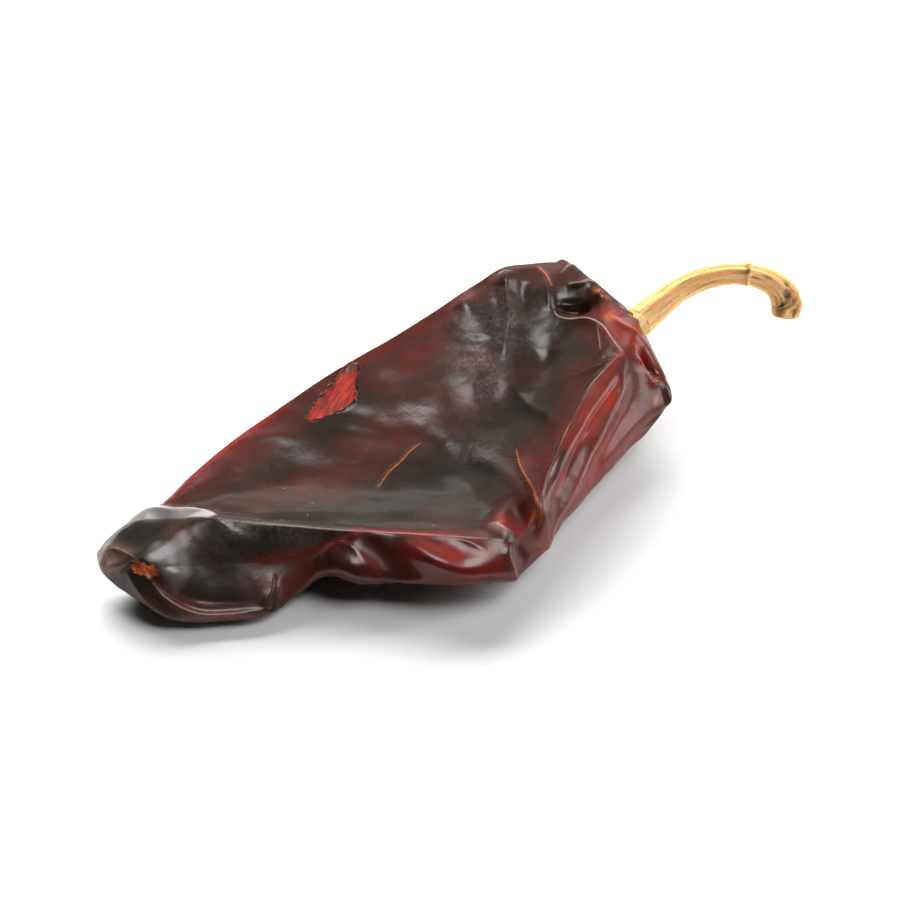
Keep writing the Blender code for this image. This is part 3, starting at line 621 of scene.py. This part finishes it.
# %% The thin lines
PALE_LINES = [
    # amount, width, points of the line
    (0.55, 0.20, [(-41.5, 5.2, 11), (-37.5, 1.5, 12), (-28, -5.6, 12), (-17, -12.7, 11),
        (-5, -21.2, 11), (6, -28.7, 11)]),
    (0.9, 0.22, [(-57, 9, 6), (-55, 6.5, 9), (-53.5, 3.5, 9.5), (-52.6, 1, 9.5)]),
    (0.8, 0.18, [(-57.5, 3.5, 4.5), (-56, 2.5, 7.5), (-54, 2, 9)]),
    (0.8, 0.18, LIP),
    (0.6, 0.18, [(-21, -14, 5), (-17.6, -16.6, 4.4), (-14, -20.5, 3.4)]),
    (0.5, 0.20, [(6, -30.5, 9), (6, -31.5, 6), (6.5, -31, 4.5)]),
    (0.5, 0.20, [(14.5, -28.5, 6.4), (16, -26, 11.4), (20.4, -21.4, 13.6), (27.5, -15.8, 15.5),
        (37.5, -8.4, 16.8), (46, -4.8, 18.4)]),
    (0.45, 0.25, [(14.5, -28, 5.8), (23.5, -24.2, 10.4), (32.5, -18, 13.8), (42.5, -11, 15.8),
        (45.4, -8, 16.8)]),
    (0.9, 0.15, [(45.2, 18, 13.6), (45, 16, 13), (46, 14.5, 13), (49, 10.5, 14.5), (49.5, 7.5, 15),
        (48.5, 1.5, 16.5), (47, -4, 18)]),
    (0.6, 0.14, SHOULDER_NICK),
    (0.6, 0.2, [(50.4, 20.8, 15), (53, 19, 16), (54.4, 18.4, 15.9)]),
    (0.5, 0.2, [(50.5, 24, 15.5), (54.3, 24.8, 15)]),
    (0.5, 0.2, [(51, -4.4, 16.5), (50.4, -7.6, 14.5), (53.2, -9.6, 12.2)]),
]
ORANGE_LINES = [
    (0.7, 0.22, BACK_NICK),
    (0.75, 0.13, [(7.5, 4, 6.5), (4.5, 3, 6), (2, 1.5, 6), (-1.5, 0, 6), (-5.5, -2.5, 6.5)]),
    (0.75, 0.17, CORNER_FOLD),
    (0.8, 0.3, CORNER_EDGE),
]
DRAWN_WITHIN = 0.7
NOT_DRAWN = 9.0
LINE_FADE = 0.3


def drawn(lines):
    """The signed distance to the nearest line in line widths, and how strongly it is drawn."""
    places = np.full(len(flat), NOT_DRAWN)
    amounts = np.zeros(len(flat))
    for strength, width, points in lines:
        near, gap, along = beside(points, DRAWN_WITHIN)
        closer = (np.abs(gap) < DRAWN_WITHIN) & (np.abs(gap / width) < np.abs(places[near]))
        places[near[closer]] = gap[closer] / width
        amounts[near[closer]] = strength * ends(along[closer], 0.0) ** LINE_FADE
    return places, amounts


pale_gap, pale_line = drawn(PALE_LINES)
orange_gap, orange_line = drawn(ORANGE_LINES)
print("thin lines:", len(PALE_LINES) + len(ORANGE_LINES))

# %% Painted highlights with a crisp border
painted_highlight = np.zeros(len(flat))
for amount, border, outline in PAINTED_HIGHLIGHTS:
    within = inside_outline(flat[:, 0], flat[:, 1], outline)
    painted_highlight = np.maximum(painted_highlight, amount * filled(within, border))
painted_highlight *= upper
print("whitish points:", int((painted_highlight > 0.1).sum()))

# %% Paint them
PAINT_REACH = 2.5
PAINT_TAIL = 0.5


def painted(lines):
    amount = np.zeros(len(flat))
    for strength, width, points in lines:
        near, gap, along = beside(points, PAINT_REACH * width + 1)
        mark = strength * np.exp(-((gap / width) ** 2)) * ends(along, PAINT_TAIL)
        amount[near] = np.maximum(amount[near], mark)
    return amount


layers = {
    "red": painted(RED),
    "bright": painted(BRIGHT),
    "pale": painted(PALE),
    "orange": painted(ORANGE),
    "matt": painted(MATT),
    "torn": np.clip(np.maximum(tear_in, hole_in), -2, 2),
    "painted_highlight": painted_highlight,
    "hole": hole,
    "dull_and_shade": painted(SHADED_RECESSES),
    "pale_gap": pale_gap,
    "pale_line": pale_line,
    "orange_gap": orange_gap,
    "orange_line": orange_line,
}
print("points marked red:", int((layers["red"] > 0.5).sum()))

# %% Make the pod
MERGED_WITHIN = 0.004


def rolled_object(name, rows, layers):
    """A closed object from rows of points: the sheet's seam and its two ends are merged."""
    bm = sheet(rows, layers)
    bmesh.ops.remove_doubles(bm, verts=bm.verts, dist=MERGED_WITHIN)
    bmesh.ops.recalc_face_normals(bm, faces=bm.faces)
    bmesh.ops.translate(bm, verts=bm.verts, vec=(-MIDDLE[0], -MIDDLE[1], 0.0))
    bmesh.ops.scale(bm, verts=bm.verts, vec=(MM, MM, MM))
    for face in bm.faces:
        face.smooth = True
    mesh = bpy.data.meshes.new(name)
    bm.to_mesh(mesh)
    bm.free()
    thing = bpy.data.objects.new(name, mesh)
    bpy.context.scene.collection.objects.link(thing)
    return thing


pod = rolled_object("pod_skin", folded, layers)
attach(pod, "root")
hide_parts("pod")
print("pod faces:", len(pod.data.polygons))

# %% [markdown]
# ## The stem
# The stem is a straw-coloured stalk that widens into a small calyx where it meets the pod, arches
# over and ends in a gnarled hook. It is a tube along a curve, with the same points that the solid
# has. Its ribs, its ring-shaped scar and the cracks at its end are changes of its radius.

# %% The line and the radius of the stem
STEM_LINE = [
    ((52, 6.6, 9.6), 2.3),
    ((55.6, 7.2, 10.9), 2.9),
    ((56.5, 7.4, 11.2), 3.4),
    ((57.7, 7.6, 11.6), 3.3),
    ((59.4, 7.9, 12.2), 3),
    ((63.5, 8.4, 13.5), 2.7),
    ((68.6, 8.8, 15), 2.35),
    ((76.5, 6.6, 17), 2.1),
    ((82.6, 3.2, 16.6), 2.2),
    ((86.2, 0.2, 14.2), 2.6),
    ((87.2, -1.6, 11.2), 3.1),
    ((86.4, -2.6, 8.9), 2.8),
]
STEM_RINGS = 300
STEM_AROUND = 96
CALYX = (55.8, 59.0)
CALYX_TEETH = 6

line = np.array([point for point, radius in STEM_LINE])
radius = np.array([[radius] for point, radius in STEM_LINE])
reach = reach_along(line)
along_stem = np.linspace(0, reach[-1], STEM_RINGS)
stem_middle = smooth_curve(reach, line, along_stem)
stem_radius = smooth_curve(reach, radius, along_stem)
stem_ahead = np.gradient(stem_middle, axis=0)
stem_ahead /= np.linalg.norm(stem_ahead, axis=1)[:, None]
print("length of the stem:", round(reach[-1], 1))

# %% [markdown]
# The real stalk is cracked: a brown mark at its old scar, and a dark cavity with splits in its hook.
# Each is a place along the stem, from 0 to 1, and a turn round it in radians, from 0 on the side
# towards -Y and then upwards.

# %% The cracks of the stem
STEM_CRACKS = [
    # place, turn, length, breadth, amount
    (0.695, 1.1, 0.009, 0.5, 0.8),
    (0.670, 0.9, 0.030, 0.25, 0.35),
    (0.675, 0.7, 0.022, 0.12, 0.5),
    (0.725, 0.5, 0.030, 0.12, 0.5),
    (0.780, 0.9, 0.020, 0.16, 0.6),
    (0.858, 1.4, 0.012, 0.25, 0.8),
    (0.885, 0.9, 0.022, 0.36, 1.0),
    (0.900, 2.0, 0.030, 0.10, 0.7),
    (0.925, 0.4, 0.020, 0.20, 0.9),
    (0.945, 1.2, 0.020, 0.25, 0.8),
    (0.960, 0.2, 0.020, 0.20, 0.9),
    (0.965, 2.3, 0.020, 0.14, 0.7),
    (0.30, 0.6, 0.060, 0.06, 0.35),
    (0.42, 1.2, 0.050, 0.06, 0.35),
    (0.52, 0.2, 0.050, 0.07, 0.4),
]
angle = np.linspace(0, 2 * np.pi, STEM_AROUND + 1)
far = (along_stem / reach[-1])[:, None]
cracks = np.zeros((STEM_RINGS, STEM_AROUND + 1))
for place, turn, length, breadth, amount in STEM_CRACKS:
    round_off = (angle - turn + np.pi) % (2 * np.pi) - np.pi
    mark = amount * np.exp(-(((far - place) / length) ** 2) - (round_off / breadth) ** 2)
    cracks = np.maximum(cracks, mark)
print("cracks:", len(STEM_CRACKS))

# %% [markdown]
# The rest of the stalk's surface is waves and noise: the calyx's teeth, two sets of ribs that wind
# slowly round it, the scar, and a gnarled knob at its end.

# %% Shape the stem's surface
CRACK_DEPTH = 0.6
CALYX_TOOTH = 0.3
SCAR_HEIGHT = 0.28
SCAR_PLACE = 0.70
SCAR_LENGTH = 0.012
SCAR_TURN = 0.6
KNOB_START = 0.84
KNOB_RISE = 0.1
KNOB_GNARL = 0.35
KNOB_SHRINK = 0.15
GNARL_SIZE = 1.9
GNARL_HEIGHT = 0.05
FIBRES_ROUND = 3.2
FIBRES_ALONG = 2.5
FIBRE_HEIGHT = 0.09

in_calyx = (stem_middle[:, 0] > CALYX[0]) & (stem_middle[:, 0] < CALYX[1])
teeth = np.where(in_calyx, CALYX_TOOTH, 0.0)[:, None] * np.cos(CALYX_TEETH * angle)
ribs = 0.10 * np.sin(9 * angle + 6 * far) + 0.05 * np.sin(23 * angle - 9 * far)
scar_ring = np.exp(-(((far - SCAR_PLACE) / SCAR_LENGTH) ** 2))
scar = SCAR_HEIGHT * scar_ring * (1 + np.sin(angle + SCAR_TURN))
knob = np.clip((far - KNOB_START) / KNOB_RISE, 0, 1)
side = np.cross(stem_ahead, [0.0, 0.0, 1.0])
side /= np.linalg.norm(side, axis=1)[:, None]
top = np.cross(side, stem_ahead)
rim = np.cos(angle)[None, :, None] * side[:, None] + np.sin(angle)[None, :, None] * top[:, None]
smooth_tube = stem_middle[:, None] + stem_radius[..., None] * rim
gnarl = np.array([
    [noise.fractal(Vector(p) / GNARL_SIZE, 1.0, 2.0, 3) for p in row] for row in smooth_tube.tolist()
])
round_stem = [(FIBRES_ROUND * math.cos(a), FIBRES_ROUND * math.sin(a)) for a in angle.tolist()]
fibre = np.array([
    [noise.noise(Vector((x, y, FIBRES_ALONG * f))) for x, y in round_stem] for f in far[:, 0].tolist()
])
swell = teeth + ribs + scar + FIBRE_HEIGHT * fibre + GNARL_HEIGHT * gnarl
swell += knob * (KNOB_GNARL * gnarl - KNOB_SHRINK) - CRACK_DEPTH * cracks
stem_rows = stem_middle[:, None] + (stem_radius + swell)[..., None] * rim
print("stem thickest:", round(float((stem_radius + swell).max()) * 2, 1))

# %% Close the stem's ends
ROOT_POINT = -0.3
HOOK_POINT = 0.7
closing = []
for place, way in ((0, ROOT_POINT), (-1, HOOK_POINT)):
    pole = stem_middle[place] + stem_ahead[place] * way
    closing.append(np.repeat(pole[None, None], STEM_AROUND + 1, axis=1))
stem_rows = np.concatenate([closing[0], stem_rows, closing[1]])
stem_rows[:, -1] = stem_rows[:, 0]
rows_far = np.concatenate([[0.0], far[:, 0], [1.0]])
cracks = np.concatenate([cracks[:1], cracks, cracks[-1:]])
stem_layers = {
    "crack": cracks.reshape(-1),
    "along": np.repeat(rows_far, STEM_AROUND + 1),
    "side_x": np.tile(np.cos(angle), len(rows_far)),
    "side_y": np.tile(np.sin(angle), len(rows_far)),
}
stem = rolled_object("stem_stalk", stem_rows, stem_layers)
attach(stem, "root")
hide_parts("stem")
print("stem faces:", len(stem.data.polygons))

# %% [markdown]
# ## Materials
# A few small helpers keep the node trees readable: some do a step of arithmetic, one mixes two colours
# by a factor, one maps a range of numbers to another, and two read a layer of the mesh or a noise.

# %% Helpers for node trees
def new_material(name):
    made = bpy.data.materials.new(name)
    made.use_nodes = True
    return made, made.node_tree.nodes, made.node_tree.links


def feed(links, value, socket):
    if isinstance(value, bpy.types.NodeSocket):
        links.new(value, socket)
    else:
        socket.default_value = value


def blend(tree, factor, first, second):
    node = tree.nodes.new("ShaderNodeMix")
    node.data_type = "RGBA"
    feed(tree.links, factor, node.inputs[0])
    feed(tree.links, first, node.inputs[6])
    feed(tree.links, second, node.inputs[7])
    return node.outputs[2]


def maths(tree, operation, first, second=0.0, clamp=False):
    node = tree.nodes.new("ShaderNodeMath")
    node.operation = operation
    node.use_clamp = clamp
    feed(tree.links, first, node.inputs[0])
    feed(tree.links, second, node.inputs[1])
    return node.outputs[0]


def times(tree, first, second, clamp=False):
    return maths(tree, "MULTIPLY", first, second, clamp)


def plus(tree, first, second):
    return maths(tree, "ADD", first, second)


def ranged(tree, value, low, high, to_low, to_high):
    node = tree.nodes.new("ShaderNodeMapRange")
    feed(tree.links, value, node.inputs[0])
    for index, number in enumerate((low, high, to_low, to_high), start=1):
        node.inputs[index].default_value = number
    return node.outputs[0]


def layer_value(tree, name):
    node = tree.nodes.new("ShaderNodeAttribute")
    node.attribute_name = name
    return node.outputs["Fac"]


def noise_value(tree, vector, size_mm, detail=2.0, roughness=0.5):
    node = tree.nodes.new("ShaderNodeTexNoise")
    tree.links.new(vector, node.inputs["Vector"])
    node.inputs["Scale"].default_value = 1000.0 / size_mm
    node.inputs["Detail"].default_value = detail
    node.inputs["Roughness"].default_value = roughness
    return node.outputs[0]


print("helpers ready")

# %% [markdown]
# The skin: nearly black, dark red where it is thin, with a waxy gloss that is patchy. The painted
# layers say where, and noise breaks up their borders. The gloss comes from the shader's own specular
# reflection, and its roughness varies a little from place to place, but two whitish places are
# painted highlights and a grey bloom also paints a soft sheen.

# %% The pod's skin
BLACK = (0.022, 0.020, 0.016, 1.0)
BROWN = (0.042, 0.026, 0.020, 1.0)
DARK_RED = (0.150, 0.017, 0.012, 1.0)
BRIGHT_RED = (0.40, 0.032, 0.016, 1.0)
PALE_EDGE = (0.45, 0.26, 0.22, 1.0)
ORANGE_LINE = (0.62, 0.19, 0.07, 1.0)
BLOOM_AND_SHEEN = (0.17, 0.125, 0.118, 1.0)
# colour of the painted highlights
HIGHLIGHT_WHITE = (0.50, 0.47, 0.46, 1.0)
# deep red of the painted shade in recesses
RECESS_SHADE_RED = (0.075, 0.006, 0.004, 1.0)
# The hole's orange is as bright as a colour can be: besides the inner layer's own colour it paints the
# glow of light shining through it.
HOLE_ORANGE = (1.0, 0.21, 0.018, 1.0)
TORN_RED = (0.22, 0.008, 0.004, 1.0)
TORN_ORANGE = (0.50, 0.030, 0.007, 1.0)
SPECK = (0.45, 0.40, 0.36, 1.0)
SKIN_IOR = 1.42

skin_material, nodes, links = new_material("pod_skin")
tree = skin_material.node_tree
shader = nodes["Principled BSDF"]
place = nodes.new("ShaderNodeTexCoord").outputs["Object"]
broad = noise_value(tree, place, 11.0, 3.0)
middling = noise_value(tree, place, 3.5, 3.0)
fine = noise_value(tree, place, 0.7, 3.0, 0.6)
brownish = ranged(tree, broad, 0.42, 0.68, 0.0, 0.8)
colour = blend(tree, brownish, BLACK, BROWN)
patchy = ranged(tree, middling, 0.3, 0.7, 0.55, 1.15)
redness = times(tree, layer_value(tree, "red"), patchy, True)
colour = blend(tree, redness, colour, DARK_RED)
brightness = times(tree, layer_value(tree, "bright"), patchy, True)
colour = blend(tree, brightness, colour, BRIGHT_RED)


def thin_line(tree, name):
    """A line drawn from its distance and its strength: exp(-gap squared) times strength."""
    gap = layer_value(tree, name + "_gap")
    squared = times(tree, gap, gap)
    bell = maths(tree, "EXPONENT", times(tree, squared, -1.0))
    return times(tree, bell, layer_value(tree, name + "_line"))


uneven = ranged(tree, fine, 0.3, 0.7, 0.55, 1.1)
pale_marks = maths(tree, "MAXIMUM", layer_value(tree, "pale"), thin_line(tree, "pale"))
colour = blend(tree, times(tree, pale_marks, uneven, True), colour, PALE_EDGE)
broken = maths(tree, "MAXIMUM", layer_value(tree, "orange"), thin_line(tree, "orange"))
colour = blend(tree, times(tree, broken, uneven, True), colour, ORANGE_LINE)
print("skin colours mixed")

# %% [markdown]
# The torn strip has streaks along its length. A Mapping node turns the noise to that direction and
# stretches it.

# %% Streaks in the tear, specks and gloss
TEAR_TURN = math.radians(33)
TEAR_STRETCH = 0.12
SPECKS_APART = 2.6
SPECKLED_SHARE = 0.14
turned = nodes.new("ShaderNodeMapping")
turned.inputs["Rotation"].default_value = (0.0, 0.0, -TEAR_TURN)
links.new(place, turned.inputs["Vector"])
stretched = nodes.new("ShaderNodeMapping")
stretched.inputs["Scale"].default_value = (TEAR_STRETCH, 1.0, 1.0)
links.new(turned.outputs[0], stretched.inputs["Vector"])
streaks = noise_value(tree, stretched.outputs[0], 0.55, 2.0)
torn_colour = blend(tree, ranged(tree, streaks, 0.42, 0.62, 0.0, 1.0), TORN_RED, TORN_ORANGE)
ragged_edge = plus(tree, layer_value(tree, "torn"), ranged(tree, middling, 0.3, 0.7, -0.25, 0.25))
torn_here = ranged(tree, ragged_edge, -0.06, 0.06, 0.0, 1.0)
colour = blend(tree, torn_here, colour, torn_colour)
# the inner layer's orange in the hole, which also paints a glow of light through it
in_hole = times(tree, layer_value(tree, "hole"), ranged(tree, fine, 0.38, 0.52, 0.35, 1.0), True)
colour = blend(tree, in_hole, colour, HOLE_ORANGE)
cells = nodes.new("ShaderNodeTexVoronoi")
links.new(place, cells.inputs["Vector"])
cells.inputs["Scale"].default_value = 1000.0 / SPECKS_APART
speck_near = ranged(tree, cells.outputs["Distance"], 0.03, 0.07, 1.0, 0.0)
cell_parts = nodes.new("ShaderNodeSeparateColor")
links.new(cells.outputs["Color"], cell_parts.inputs[0])
speck_rare = maths(tree, "GREATER_THAN", cell_parts.outputs[0], 1 - SPECKLED_SHARE)
specks = times(tree, speck_near, speck_rare, True)
colour = blend(tree, times(tree, specks, 0.6), colour, SPECK)
# grey bloom on the matt places, which also paints their soft sheen
matt = times(tree, layer_value(tree, "matt"), ranged(tree, middling, 0.35, 0.65, 0.3, 1.2), True)
bloom_and_sheen = times(tree, matt, ranged(tree, fine, 0.40, 0.66, 0.15, 0.85), True)
colour = blend(tree, bloom_and_sheen, colour, BLOOM_AND_SHEEN)
# painted highlights on the tip's patch and on the facet behind the rim
colour = blend(tree, layer_value(tree, "painted_highlight"), colour, HIGHLIGHT_WHITE)
# painted shade in the pocket, the groove and the hole's pits, which also lose their gloss
dull_and_shade = layer_value(tree, "dull_and_shade")
colour = blend(tree, times(tree, dull_and_shade, 0.85), colour, RECESS_SHADE_RED)
links.new(colour, shader.inputs["Base Color"])

rough = plus(tree, ranged(tree, broad, 0.3, 0.7, 0.20, 0.32), times(tree, matt, 0.16))
rough = plus(tree, rough, times(tree, torn_here, 0.3))
rough = plus(tree, rough, times(tree, dull_and_shade, 0.4))
links.new(rough, shader.inputs["Roughness"])
shader.inputs["IOR"].default_value = SKIN_IOR
print("gloss set")

# %% Relief of the skin
grain = times(tree, fine, ranged(tree, matt, 0.0, 1.0, 0.35, 1.0))
torn_relief = times(tree, streaks, torn_here)
relief = plus(tree, grain, times(tree, torn_relief, 2.0))
relief = plus(tree, relief, times(tree, middling, 1.2))
bump = nodes.new("ShaderNodeBump")
bump.inputs["Strength"].default_value = 0.5
bump.inputs["Distance"].default_value = 0.00012
links.new(relief, bump.inputs["Height"])
links.new(bump.outputs[0], shader.inputs["Normal"])
pod.data.materials.append(skin_material)
print("skin relief set")

# %% [markdown]
# The stem: dry straw with long fibres. The noise is read in the stem's own directions, round and
# along it, which three of its float attributes hold, so the fibres bend with it. A little light
# scatters below the surface, as it does in dry plant stalks.

# %% The stem's straw
STRAW = (0.86, 0.52, 0.17, 1.0)
PALE_STRAW = (0.92, 0.68, 0.34, 1.0)
FIBRE_BROWN = (0.46, 0.21, 0.06, 1.0)
END_BROWN = (0.26, 0.12, 0.04, 1.0)
CRACK_BROWN = (0.14, 0.05, 0.018, 1.0)

stem_material, nodes, links = new_material("dry_stem")
tree = stem_material.node_tree
shader = nodes["Principled BSDF"]
own = nodes.new("ShaderNodeCombineXYZ")
links.new(layer_value(tree, "side_x"), own.inputs[0])
links.new(layer_value(tree, "side_y"), own.inputs[1])
far_along = layer_value(tree, "along")
links.new(times(tree, far_along, 2.2), own.inputs[2])
fibres = noise_value(tree, own.outputs[0], 1000.0 / 5.5, 4.0, 0.65)
threads = noise_value(tree, own.outputs[0], 1000.0 / 16.0, 2.0, 0.6)
place = nodes.new("ShaderNodeTexCoord").outputs["Object"]
blotches = noise_value(tree, place, 3.0, 3.0)
pits = noise_value(tree, place, 0.9, 2.0)
straw = blend(tree, ranged(tree, fibres, 0.35, 0.65, 0.0, 1.0), STRAW, PALE_STRAW)
dark_threads = ranged(tree, threads, 0.56, 0.70, 0.0, 0.65)
straw = blend(tree, dark_threads, straw, FIBRE_BROWN)
toward_end = ranged(tree, far_along, 0.80, 0.97, 0.0, 0.65)
browned = times(tree, toward_end, ranged(tree, blotches, 0.35, 0.6, 0.3, 1.2), True)
straw = blend(tree, browned, straw, FIBRE_BROWN)
cracked = times(tree, toward_end, ranged(tree, pits, 0.60, 0.68, 0.0, 1.4), True)
straw = blend(tree, cracked, straw, END_BROWN)
split = times(tree, layer_value(tree, "crack"), ranged(tree, pits, 0.3, 0.6, 1.5, 0.7), True)
straw = blend(tree, split, straw, CRACK_BROWN)
links.new(straw, shader.inputs["Base Color"])
shader.inputs["Roughness"].default_value = 0.62
shader.inputs["Subsurface Weight"].default_value = 0.55
shader.inputs["Subsurface Radius"].default_value = (1.0, 0.55, 0.22)
shader.inputs["Subsurface Scale"].default_value = 0.003
bump = nodes.new("ShaderNodeBump")
bump.inputs["Strength"].default_value = 0.7
bump.inputs["Distance"].default_value = 0.0002
links.new(plus(tree, fibres, threads), bump.inputs["Height"])
links.new(bump.outputs[0], shader.inputs["Normal"])
stem.data.materials.append(stem_material)
print("stem material set")

# %% [markdown]
# ## Floor, light and camera
# A white floor in a dim room, under five soft boxes. Three of them make the gloss: the one overhead
# draws the shine along the folds, the one at the right lights the side faces, and a weak one from
# behind gives the far rims a glint. A wide window behind and a small one at the right light the floor
# and give the soft shadow in front. These two are left out of reflections, or else the whole upper
# face would turn grey.

# %% The floor
FLOOR_SIZE = 6.0
FLOOR_WHITE = (0.92, 0.92, 0.93, 1.0)
bm = bmesh.new()
bmesh.ops.create_grid(bm, x_segments=1, y_segments=1, size=FLOOR_SIZE / 2)
floor_mesh = bpy.data.meshes.new("floor")
bm.to_mesh(floor_mesh)
bm.free()
floor = bpy.data.objects.new("floor", floor_mesh)
bpy.context.scene.collection.objects.link(floor)
floor_material, nodes, _ = new_material("floor_white")
shader = nodes["Principled BSDF"]
shader.inputs["Base Color"].default_value = FLOOR_WHITE
shader.inputs["Roughness"].default_value = 0.9
shader.inputs["Specular IOR Level"].default_value = 0.1
floor.data.materials.append(floor_material)
print("floor laid")

# %% The room that the skin reflects
VIEW_TURN = math.radians(30)
ROOM_FRONT = 0.10
ROOM_BACK = 0.16
world = bpy.data.worlds.new("studio")
bpy.context.scene.world = world
world.use_nodes = True
nodes, links = world.node_tree.nodes, world.node_tree.links
way = nodes.new("ShaderNodeTexCoord").outputs["Generated"]
facing = nodes.new("ShaderNodeVectorMath")
facing.operation = "DOT_PRODUCT"
links.new(way, facing.inputs[0])
facing.inputs[1].default_value = (math.sin(VIEW_TURN), math.cos(VIEW_TURN), 0.0)
strength = ranged(world.node_tree, facing.outputs["Value"], -0.6, 0.3, ROOM_FRONT, ROOM_BACK)
links.new(strength, nodes["Background"].inputs["Strength"])
print("room set")

# %% Soft boxes
def soft_box(name, turn, height, distance, width, depth, radiance):
    """An area light, seen from the pepper at a turn in degrees (0 is straight behind it as the camera
    looks, 90 is to the right) and a height in degrees above the floor."""
    light = bpy.data.lights.new(name, "AREA")
    light.shape = "RECTANGLE"
    light.size = width
    light.size_y = depth
    light.energy = 2 * radiance * math.pi * width * depth
    box = bpy.data.objects.new(name, light)
    bpy.context.scene.collection.objects.link(box)
    direction = VIEW_TURN + math.radians(turn)
    lift = math.radians(height)
    level = math.cos(lift)
    box.location = (
        distance * level * math.sin(direction),
        distance * level * math.cos(direction),
        distance * math.sin(lift),
    )
    box.rotation_mode = "QUATERNION"
    box.rotation_quaternion = (-box.location).to_track_quat("-Z", "Y")
    return box


soft_box("overhead", 180, 88, 0.62, 0.28, 0.26, 5.6).visible_diffuse = False
soft_box("right", 84, 26, 0.60, 0.32, 0.32, 2.6)
soft_box("back", 4, 27, 0.80, 0.40, 0.24, 0.65).visible_diffuse = False
soft_box("window", -12, 30, 0.85, 1.10, 0.46, 7.2).visible_glossy = False
soft_box("side_window", 84, 56, 0.70, 0.34, 0.34, 2.7).visible_glossy = False

# %% The camera
PHOTO_SIDE = 900.0
PIXELS_PER_RADIAN = 2860.0
EYE = (-179.5, -331.0, 388.9)
LOOK_AT = (14.9, 5.8, 0.0)


def to_world(point):
    return Vector((point[0] - MIDDLE[0], point[1] - MIDDLE[1], point[2])) * MM


camera = bpy.data.objects.new("camera", bpy.data.cameras.new("camera"))
bpy.context.scene.collection.objects.link(camera)
camera.location = to_world(EYE)
camera.rotation_mode = "QUATERNION"
camera.rotation_quaternion = (to_world(LOOK_AT) - to_world(EYE)).to_track_quat("-Z", "Y")
camera.data.sensor_width = 36.0
camera.data.lens = camera.data.sensor_width * PIXELS_PER_RADIAN / PHOTO_SIDE
camera.data.clip_start = 0.01
bpy.context.scene.camera = camera
bpy.context.scene.view_settings.view_transform = "Standard"
print("lens:", round(camera.data.lens, 1), "mm")
